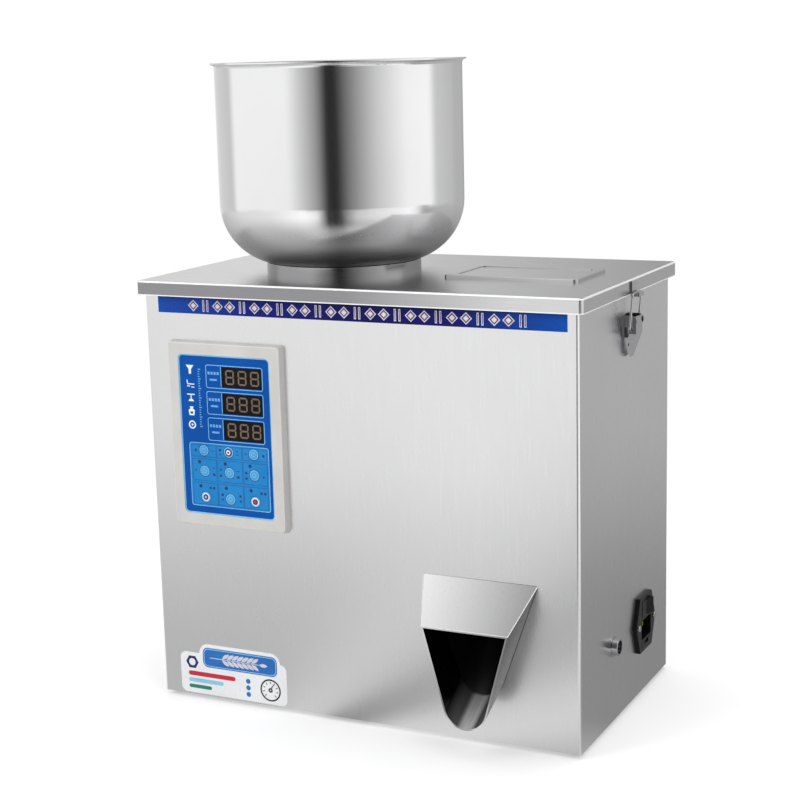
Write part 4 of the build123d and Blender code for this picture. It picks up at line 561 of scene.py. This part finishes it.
def dome_band(key_name, part, inner, outer, material):
    """A ring or disc of ink that follows a key's low dome, on the key's own body."""
    x, z, tip_y = key_centres[key_name]
    ball = (KEY_RADIUS**2 + KEY_RISE**2) / (2 * KEY_RISE)
    lift, loops, steps = 0.03 * MM, 3, 36
    points, faces = [], []
    for loop in range(loops + 1):
        reach = inner + (outer - inner) * loop / loops
        y = tip_y + ball - sqrt(ball**2 - reach**2) - lift
        for n in range(steps):
            turn = 2 * pi * n / steps
            points.append((x + reach * cos(turn), y, z + reach * sin(turn)))
    for loop in range(loops):
        for n in range(steps):
            a, b = loop * steps + n, loop * steps + (n + 1) % steps
            faces.append((a, b, b + steps, a + steps))
    mesh = bpy.data.meshes.new(f"{key_name}_{part}")
    mesh.from_pydata(points, [], faces)
    mesh.update()
    add_piece(mesh.name, mesh, material, key_name)


# Rings of ink on the keys: part, inner and outer radius in millimetres, and ink. The shade ring round each
# key is painted shade that gives the low dome relief.
RIM_RINGS = [("rim", 3.8, 4.35, light_mark), ("shade", 4.4, 4.75, navy_mark)]
PLAIN_RINGS = [("centre", 1.5, 1.9, light_mark)]
MARKED_KEYS = {
    "key_2": [("ring", 2.1, 3.3, wine_mark), ("middle", 1.0, 2.05, white_mark),
              ("centre", 0.05, 0.95, navy_mark)],
    "key_7": [("ring", 2.5, 3.4, white_mark), ("middle", 1.1, 2.45, wine_mark),
              ("centre", 0.05, 1.05, light_mark)],
    "key_9": [("ring", 2.5, 3.4, white_mark), ("middle", 1.2, 2.45, wine_mark),
              ("centre", 0.05, 1.15, red_mark)],
}


def key_faces():
    """Light rims and painted shade rings on all keys, coloured rings on the marked ones and a small ring on
    the others.
    """
    keys = [(key_name, RIM_RINGS) for key_name in key_names]
    keys += MARKED_KEYS.items()
    keys += [(key_name, PLAIN_RINGS) for key_name in key_names if key_name not in MARKED_KEYS]
    for key_name, rings in keys:
        for part, inner, outer, ink in rings:
            dome_band(key_name, part, inner * MM, outer * MM, ink)


def digit_outlines(x, z, half_width, half_height, stroke):
    """The seven bars of one numeric digit, each with pointed ends."""
    gap = stroke * 0.12
    reach_x, reach_z = half_width - stroke / 2, half_height - stroke / 2
    bars = [((-reach_x, level), (reach_x, level)) for level in (-reach_z, 0.0, reach_z)]
    bars += [((side, low), (side, low + reach_z)) for side in (-reach_x, reach_x) for low in (-reach_z, 0.0)]
    outlines = []
    for (x0, z0), (x1, z1) in bars:
        length = sqrt((x1 - x0) ** 2 + (z1 - z0) ** 2)
        half, tip = length / 2 - gap, stroke / 2
        shape = [(-half, 0), (-half + tip, tip), (half - tip, tip), (half, 0), (half - tip, -tip),
                 (-half + tip, -tip)]
        turn = 90 if x0 == x1 else 0
        outlines.append(moved(shape, x + (x0 + x1) / 2, z + (z0 + z1) / 2, 1.0, turn))
    return outlines


def displays():
    """Unlit digits on the three display modules, thin frames round them and label bars beside them."""
    low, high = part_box("display_modules")
    pitch, half_width = 22.0 * MM, (high.x - low.x) / 2
    half_height = (high.z - low.z - 2 * pitch) / 2
    middle_x = (low.x + high.x) / 2
    digits, frames, bars = [], [], []
    for row in range(3):
        z = high.z - half_height - row * pitch
        for offset in (-11.4, 0.3, 12.0):
            digits += digit_outlines(middle_x + offset * MM, z, 4.1 * MM, 6.1 * MM, 1.35 * MM)
        left, right = panel_x - 17.2 * MM, high.x + 1.0 * MM
        edge, half = 0.55 * MM, half_height + 1.2 * MM
        frames += band(box_outline(left, z - half, right, z + half, 2.0 * MM),
                       box_outline(left + edge, z - half + edge, right - edge, z + half - edge, 1.5 * MM))
        frames.append(box_outline(low.x - 0.9 * MM, z - half_height, low.x - 0.4 * MM, z + half_height))
        for column in range(4):
            bar_left = panel_x + (-15.4 + 2.9 * column) * MM
            bars.append(box_outline(bar_left, z + 1.6 * MM, bar_left + 2.1 * MM, z + 4.0 * MM))
        bars.append(box_outline(panel_x - 13.6 * MM, z - 3.4 * MM, panel_x - 6.6 * MM, z - 1.8 * MM))
    front_piece("display_unlit_digits", digits, low.y, segment_mark, INK / 2)
    front_piece("display_frames", frames, overlay_y, light_mark)
    front_piece("display_label_bars", bars, overlay_y, label_mark)


def pictograms():
    """Five plain white signs down the left: funnel, shaking trough, scale, bag and full turn."""
    funnel = [[(-1, 1), (1, 1), (0.3, 0.05), (0.3, -1), (-0.3, -1), (-0.3, 0.05)]]
    trough = [[(-1, 0.75), (-0.75, 0.75), (-0.6, -0.05), (1, -0.05), (1, -0.3), (-0.85, -0.3)],
              box_outline(-0.9, -0.75, -0.1, -0.55), box_outline(0.15, -0.95, 0.95, -0.75)]
    scale = [[(-1, 0.5), (1, 0.5), (1, 0.75), (-1, 0.75)], box_outline(-0.12, -0.4, 0.12, 0.5),
             [(-0.75, -0.95), (0.75, -0.95), (0.35, -0.4), (-0.35, -0.4)]]
    bag = [[(-0.65, -1), (0.65, -1), (0.8, 0.2), (0.3, 0.5), (0.5, 1), (-0.5, 1), (-0.3, 0.5), (-0.8, 0.2)],
           box_outline(-0.35, -0.65, 0.35, -0.15)]
    turn = band(disc_outline(0, 0, 0.95, 24), disc_outline(0, 0, 0.62, 24)) + [disc_outline(0, 0, 0.25, 16)]
    signs = []
    for number, shape in enumerate((funnel, trough, scale, bag, turn)):
        z = 54.5 - 11.6 * number
        signs += [on_panel(moved(outline, -32.3, z, 3.7)) for outline in shape]
    front_piece("panel_pictograms", signs, overlay_y, white_mark)
    ticks = []
    for number in range(25):
        reach = 2.6 if number % 4 == 0 else 1.5
        z = 55.0 - 2.0 * number
        ticks.append(on_panel(box_outline(-24.8, z - 0.3, -24.8 + reach, z + 0.3)))
    front_piece("panel_tick_scale", ticks, overlay_y, light_mark)


def bezel_margin():
    """Pale blue margin of film that shows round the overlay in its recess."""
    clear = 0.18 * MM
    outer = box_outline(overlay_low.x - clear, overlay_low.z - clear, overlay_high.x + clear,
                        overlay_high.z + clear, 4.1 * MM)
    inner = box_outline(overlay_low.x + 0.9 * MM, overlay_low.z + 0.9 * MM, overlay_high.x - 0.9 * MM,
                        overlay_high.z - 0.9 * MM, 3.2 * MM)
    front_piece("panel_overlay_margin", band(outer, inner), overlay_y, light_mark)


key_zone()
key_signs()
key_faces()
displays()
pictograms()
bezel_margin()


# Front strip: a plain ornament of lozenges and bars where the lettering was left out


def strip_ornament():
    """A row of lozenges with a pair of upright bars in every third place."""
    low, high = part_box("front_strip")
    middle_z = (low.z + high.z) / 2
    tall, wide = 4.8 * MM, 5.0 * MM
    outer, core = [], []
    count = 26
    start, end = low.x + 34 * MM, high.x - 35 * MM
    for number in range(count):
        x = start + (end - start) * number / (count - 1)
        if number % 3 == 1:
            for side in (-1.9, 1.9):
                outer.append(box_outline(x + (side - 0.9) * MM, middle_z - tall, x + (side + 0.9) * MM,
                                         middle_z + tall))
                core.append(box_outline(x + (side - 0.35) * MM, middle_z - tall + 0.7 * MM,
                                        x + (side + 0.35) * MM, middle_z + tall - 0.7 * MM))
        else:
            lozenge = [(-wide, 0), (0, tall), (wide, 0), (0, -tall)]
            outer.append(moved(lozenge, x, middle_z))
            core += band(moved(lozenge, x, middle_z, 0.78), moved(lozenge, x, middle_z, 0.5))
    front_piece("strip_ornament", outer, low.y, silver_mark)
    front_piece("strip_ornament_core", core, low.y - INK, wine_mark)


strip_ornament()


# Corner sticker: an ear of grain, a dial and colour bars, a plain design where the printed one was left out


def grain_ear(length, pairs, leaf_length, leaf_width):
    """An ear of grain that lies along X: a stem with pairs of pointed grains and one at its tip."""
    steps = 8
    upper = [(leaf_length * n / steps, leaf_width / 2 * sin(pi * n / steps)) for n in range(steps + 1)]
    leaf = upper + [(x, -z) for x, z in reversed(upper[1:-1])]
    outlines = [box_outline(0, -0.3, length - 0.2, 0.3), moved(leaf, length, 0)]
    for number in range(pairs):
        x = length * (0.25 + 0.7 * number / pairs)
        outlines += [moved(leaf, x, 0.5, 1.0, 34), moved(leaf, x, -0.5, 1.0, -34)]
    return outlines


def sticker_print():
    low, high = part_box("corner_sticker")

    def spot(outline):
        """Moves an outline drawn in millimetres from the sticker's lower left corner to its place."""
        return moved(outline, low.x, low.z, MM)

    dial = (88.0, 12.4)
    dial_rings = band(disc_outline(*dial, 9.8), disc_outline(*dial, 8.5))
    dial_rings += band(disc_outline(*dial, 2.0), disc_outline(*dial, 0.7))
    dial_ticks = [moved(box_outline(5.6, -0.35, 7.6, 0.35), *dial, 1.0, 225 - 33.75 * number)
                  for number in range(9)]
    needle = moved([(2.2, -0.6), (7.2, 0), (2.2, 0.6)], *dial, 1.0, 62)
    layers = [
        ("field", [box_outline(22.5, 24.5, 95.0, 42.0, 5.0)], field_mark, 1),
        ("field_edge", band(box_outline(23.4, 25.4, 94.1, 41.1, 4.3),
                            box_outline(24.0, 26.0, 93.5, 40.5, 3.9)), sky_mark, 2),
        ("grain_ear", [moved(outline, 29.5, 33.2) for outline in grain_ear(48.0, 7, 8.6, 3.2)],
         silver_mark, 2),
        ("nut", band(disc_outline(11.6, 27.4, 6.2, 6), disc_outline(11.6, 27.4, 3.2, 24)), navy_mark, 1),
        ("red_bar", [box_outline(7.5, 15.4, 54.0, 19.4, 1.9)], red_mark, 1),
        ("sky_bar", [box_outline(7.5, 9.6, 42.0, 13.2, 1.7)], sky_mark, 1),
        ("green_bar", [box_outline(7.5, 4.2, 30.0, 7.4, 1.5)], green_mark, 1),
        ("dots", [disc_outline(66.5, z, 2.2, 20) for z in (17.4, 11.6, 5.8)], field_mark, 1),
        ("dial_rings", dial_rings, black_mark, 1),
        ("dial_ticks", dial_ticks + [needle], black_mark, 1),
    ]
    for part, outlines, material, layer in layers:
        front_piece(f"sticker_{part}", [spot(outline) for outline in outlines], low.y - (layer - 1) * INK,
                    material)


sticker_print()


def scoop_lips():
    """Thin hems along the scoop's sloping plate in bright white plastic: a painted highlight on its edges.
    """
    mesh = nodes["discharge_scoop"].data
    low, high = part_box("discharge_scoop")
    wall_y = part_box("corner_sticker")[1].y
    hem = 0.4 * MM

    def plate_corners(y):
        """Left and right ends of the plate's edge in the upright plane at y."""
        points = [v.co for v in mesh.vertices if abs(v.co.y - y) < 0.1 * MM]
        top = max(p.z for p in points)
        level = [p for p in points if p.z > top - 0.2 * MM]
        return min(level, key=lambda p: p.x).copy(), max(level, key=lambda p: p.x).copy()

    lip_left, lip_right = plate_corners(low.y)
    wall_left, wall_right = plate_corners(wall_y)
    forward = Vector((0, hem, 0))
    lines = [(wall_left, lip_left + forward), (lip_left + forward, lip_right + forward),
             (lip_right + forward, wall_right)]
    curve = bpy.data.curves.new("scoop_highlight_hems", "CURVE")
    curve.dimensions = "3D"
    curve.bevel_depth = hem
    curve.bevel_resolution = 3
    curve.use_fill_caps = True
    for ends in lines:
        spline = curve.splines.new("POLY")
        spline.points.add(1)
        for point, place in zip(spline.points, ends):
            point.co = (*place, 1)
    # Painted highlight: the hems are bright white plastic, not metal.
    bright = plastic("painted_highlight_hem", rgb(222, 222, 222), rgb(240, 240, 240), rough=(0.15, 0.25))
    add_piece("scoop_highlight_hems", curve, bright, "cabinet")


scoop_lips()


# Camera at the photograph's place: position, aim and a slight roll
CAMERA_PLACE = Vector((0.61920, -1.29537, 0.54167))
CAMERA_AIM = Vector((-0.01581, 0.0, 0.25355))
CAMERA_ROLL = radians(-1.489)
CAMERA_LENS = 78.61


def photograph_camera():
    data = bpy.data.cameras.new("photograph_camera")
    data.lens = CAMERA_LENS
    data.sensor_width = 36.0
    camera = bpy.data.objects.new("photograph_camera", data)
    bpy.context.scene.collection.objects.link(camera)
    back = (CAMERA_PLACE - CAMERA_AIM).normalized()
    right = Vector((0, 0, 1)).cross(back).normalized()
    up = back.cross(right)
    side = cos(CAMERA_ROLL) * right + sin(CAMERA_ROLL) * up
    top = cos(CAMERA_ROLL) * up - sin(CAMERA_ROLL) * right
    camera.matrix_world = Matrix((
        (side.x, top.x, back.x, CAMERA_PLACE.x),
        (side.y, top.y, back.y, CAMERA_PLACE.y),
        (side.z, top.z, back.z, CAMERA_PLACE.z),
        (0, 0, 0, 1),
    ))
    bpy.context.scene.camera = camera


photograph_camera()


# Studio: plain white to the camera, soft tones in metal, and soft lamps

# Brightness of the walls as metal shows them, by compass angle from the front, positive to the right
ROOM_WALLS = [(-180, 0.48), (-164, 0.38), (-150, 0.88), (-125, 0.7), (-94, 0.62), (-86, 1.0), (-22, 1.0),
              (-8, 0.64), (6, 0.32), (15, 0.02), (24, 0.02), (36, 0.22), (62, 0.66), (90, 1.0), (118, 1.05),
              (126, 0.64), (150, 0.56), (165, 0.48), (180, 0.48)]
# The floor as metal shows it, close to the machine and further off
FLOOR_NEAR = [(-180, 0.4), (-120, 0.52), (-80, 0.86), (-40, 0.8), (-20, 0.8), (-2, 1.04), (8, 1.0),
              (16, 0.5), (24, 0.5), (36, 1.1), (50, 1.18), (70, 0.62), (84, 0.4), (126, 0.38), (180, 0.4)]
FLOOR_FAR = [(-180, 0.4), (-120, 0.52), (-80, 0.72), (-40, 0.8), (-8, 1.06), (4, 0.9), (14, 0.03),
             (25, 0.03), (40, 0.6), (60, 0.8), (90, 1.0), (98, 0.9), (108, 0.36), (126, 0.44), (150, 0.44),
             (180, 0.4)]
# Where the near tones give way to the far ones, by distance from the bowl's axis
NEAR_TO_FAR = (0.42, 0.8)
# How far the floor's tones in metal rise with that distance: from where to where, and between which levels
TONE_REACH = (0.25, 1.3)
# Painted shadow: the lower level darkens the floor in metal close to the machine.
TONE_LEVELS = (0.76, 1.12)
# The world as matt surfaces see it
ROOM_FOR_MATT = [0.62, 0.62, 0.62, 1.0]
FLOOR_COLOUR = [0.8, 0.8, 0.8, 1.0]
# Light that the floor adds for the camera, so that it renders white and keeps the shadow
FLOOR_GLOW = 0.3
# Where the floor becomes plain white to the camera
PLAIN_WHITE = (0.5, 0.9)
FLOOR_REACH = 3.0
FLOOR_DROP = 0.2 * MM
LAMP_AIM = Vector((0, 0, 0.25))


def compass_ramp(tree, direction, levels):
    """Brightness by compass angle of a direction, from a list of angles and levels."""
    forward = maths(tree, "MULTIPLY", coordinate(tree, direction, "Y"), -1.0)
    angle = maths(tree, "ARCTAN2", coordinate(tree, direction, "X"), forward)
    stops = [((degrees + 180) / 360, (level, level, level, 1)) for degrees, level in levels]
    return colour_ramp(tree, map_range(tree, angle, -pi, pi, 0.0, 1.0), stops)


def room():
    """The world: white to the camera, grey as soft light, and walls of several tones to metal."""
    world = bpy.data.worlds.new("studio_room")
    bpy.context.scene.world = world
    world.use_nodes = True
    tree = world.node_tree
    rays = tree.nodes.new("ShaderNodeLightPath").outputs
    walls = compass_ramp(tree, tree.nodes.new("ShaderNodeTexCoord").outputs["Generated"], ROOM_WALLS)
    plain = blend_colours(tree, rays["Is Diffuse Ray"], WHITE, ROOM_FOR_MATT)
    colour = blend_colours(tree, rays["Is Glossy Ray"], plain, walls)
    tree.links.new(colour, tree.nodes["Background"].inputs["Color"])


def floor_in_metal(tree, place):
    """The floor as metal shows it: soft tones by compass angle, with a painted shadow that darkens it close
    to the machine.
    """
    from_bowl = vector_maths(tree, "SUBTRACT", place, BOWL_AXIS)
    distance = length_of(tree, from_bowl)
    near = compass_ramp(tree, from_bowl, FLOOR_NEAR)
    far = compass_ramp(tree, from_bowl, FLOOR_FAR)
    beyond = map_range(tree, distance, *NEAR_TO_FAR, 0.0, 1.0, "SMOOTHSTEP")
    shade = tree.nodes.new("ShaderNodeVectorMath")
    shade.operation = "SCALE"
    tree.links.new(blend_colours(tree, beyond, near, far), shade.inputs["Vector"])
    level = map_range(tree, distance, *TONE_REACH, *TONE_LEVELS, "SMOOTHSTEP")
    tree.links.new(level, shade.inputs["Scale"])
    return shade.outputs["Vector"]


def mix_shaders(tree, factor, first, second):
    """A shader between first, where factor is 0, and second, where it is 1."""
    node = tree.nodes.new("ShaderNodeMixShader")
    tree.links.new(factor, node.inputs["Fac"])
    tree.links.new(first, node.inputs[1])
    tree.links.new(second, node.inputs[2])
    return node.outputs["Shader"]


def emission(tree, socket, value):
    node = tree.nodes.new("ShaderNodeEmission")
    feed(tree, node.inputs[socket], value)
    return node.outputs["Emission"]


def floor_material():
    """Matt white with the machine's soft shadow, plain white further off, and tones where metal shows it."""
    material = bpy.data.materials.new("studio_floor_white")
    material.use_nodes = True
    tree = material.node_tree
    tree.nodes.remove(tree.nodes["Principled BSDF"])
    place = tree.nodes.new("ShaderNodeTexCoord").outputs["Object"]
    rays = tree.nodes.new("ShaderNodeLightPath").outputs
    matt = tree.nodes.new("ShaderNodeBsdfDiffuse")
    matt.inputs["Color"].default_value = FLOOR_COLOUR
    glowing = tree.nodes.new("ShaderNodeAddShader")
    tree.links.new(matt.outputs["BSDF"], glowing.inputs[0])
    glow = emission(tree, "Strength", maths(tree, "MULTIPLY", rays["Is Camera Ray"], FLOOR_GLOW))
    tree.links.new(glow, glowing.inputs[1])
    outer = map_range(tree, length_of(tree, place), *PLAIN_WHITE, 0.0, 1.0, "SMOOTHSTEP")
    seen_white = maths(tree, "MULTIPLY", outer, rays["Is Camera Ray"])
    lit = mix_shaders(tree, seen_white, glowing.outputs["Shader"], emission(tree, "Strength", 1.0))
    mirrored = emission(tree, "Color", floor_in_metal(tree, place))
    shader = mix_shaders(tree, rays["Is Glossy Ray"], lit, mirrored)
    tree.links.new(shader, tree.nodes["Material Output"].inputs["Surface"])
    return material


def floor():
    """A round floor of rings that widen outwards, just under the feet."""
    steps, rings = 96, 12
    points = [(0, 0, 0)]
    for number in range(1, rings + 1):
        radius = FLOOR_REACH * (number / rings) ** 1.5
        points += [(radius * cos(2 * pi * n / steps), radius * sin(2 * pi * n / steps), 0)
                   for n in range(steps)]
    faces = [(0, 1 + n, 1 + (n + 1) % steps) for n in range(steps)]
    for loop in range(rings - 1):
        for n in range(steps):
            a = 1 + loop * steps + n
            b = 1 + loop * steps + (n + 1) % steps
            faces.append((a, a + steps, b + steps, b))
    mesh = bpy.data.meshes.new("studio_floor")
    mesh.from_pydata(points, [], faces)
    mesh.materials.append(floor_material())
    piece = bpy.data.objects.new("studio_floor", mesh)
    bpy.context.scene.collection.objects.link(piece)
    piece.location.z = -FLOOR_DROP


def soft_lamp(name, place, size, power):
    """A square lamp that looks at the machine's middle and doesn't show in metal."""
    data = bpy.data.lights.new(name, "AREA")
    data.shape = "SQUARE"
    data.size = size
    data.energy = power
    lamp = bpy.data.objects.new(name, data)
    bpy.context.scene.collection.objects.link(lamp)
    lamp.location = place
    lamp.rotation_mode = "QUATERNION"
    lamp.rotation_quaternion = (LAMP_AIM - Vector(place)).to_track_quat("-Z", "Y")
    lamp.visible_glossy = False


room()
floor()
soft_lamp("lamp_front_left", (-1.4, -1.8, 1.7), size=1.2, power=22.0)
soft_lamp("lamp_front_right", (1.6, -1.2, 1.4), size=1.0, power=9.0)
soft_lamp("lamp_above", (0.2, 0.3, 2.2), size=1.4, power=14.0)

bpy.context.scene.view_settings.view_transform = "Standard"
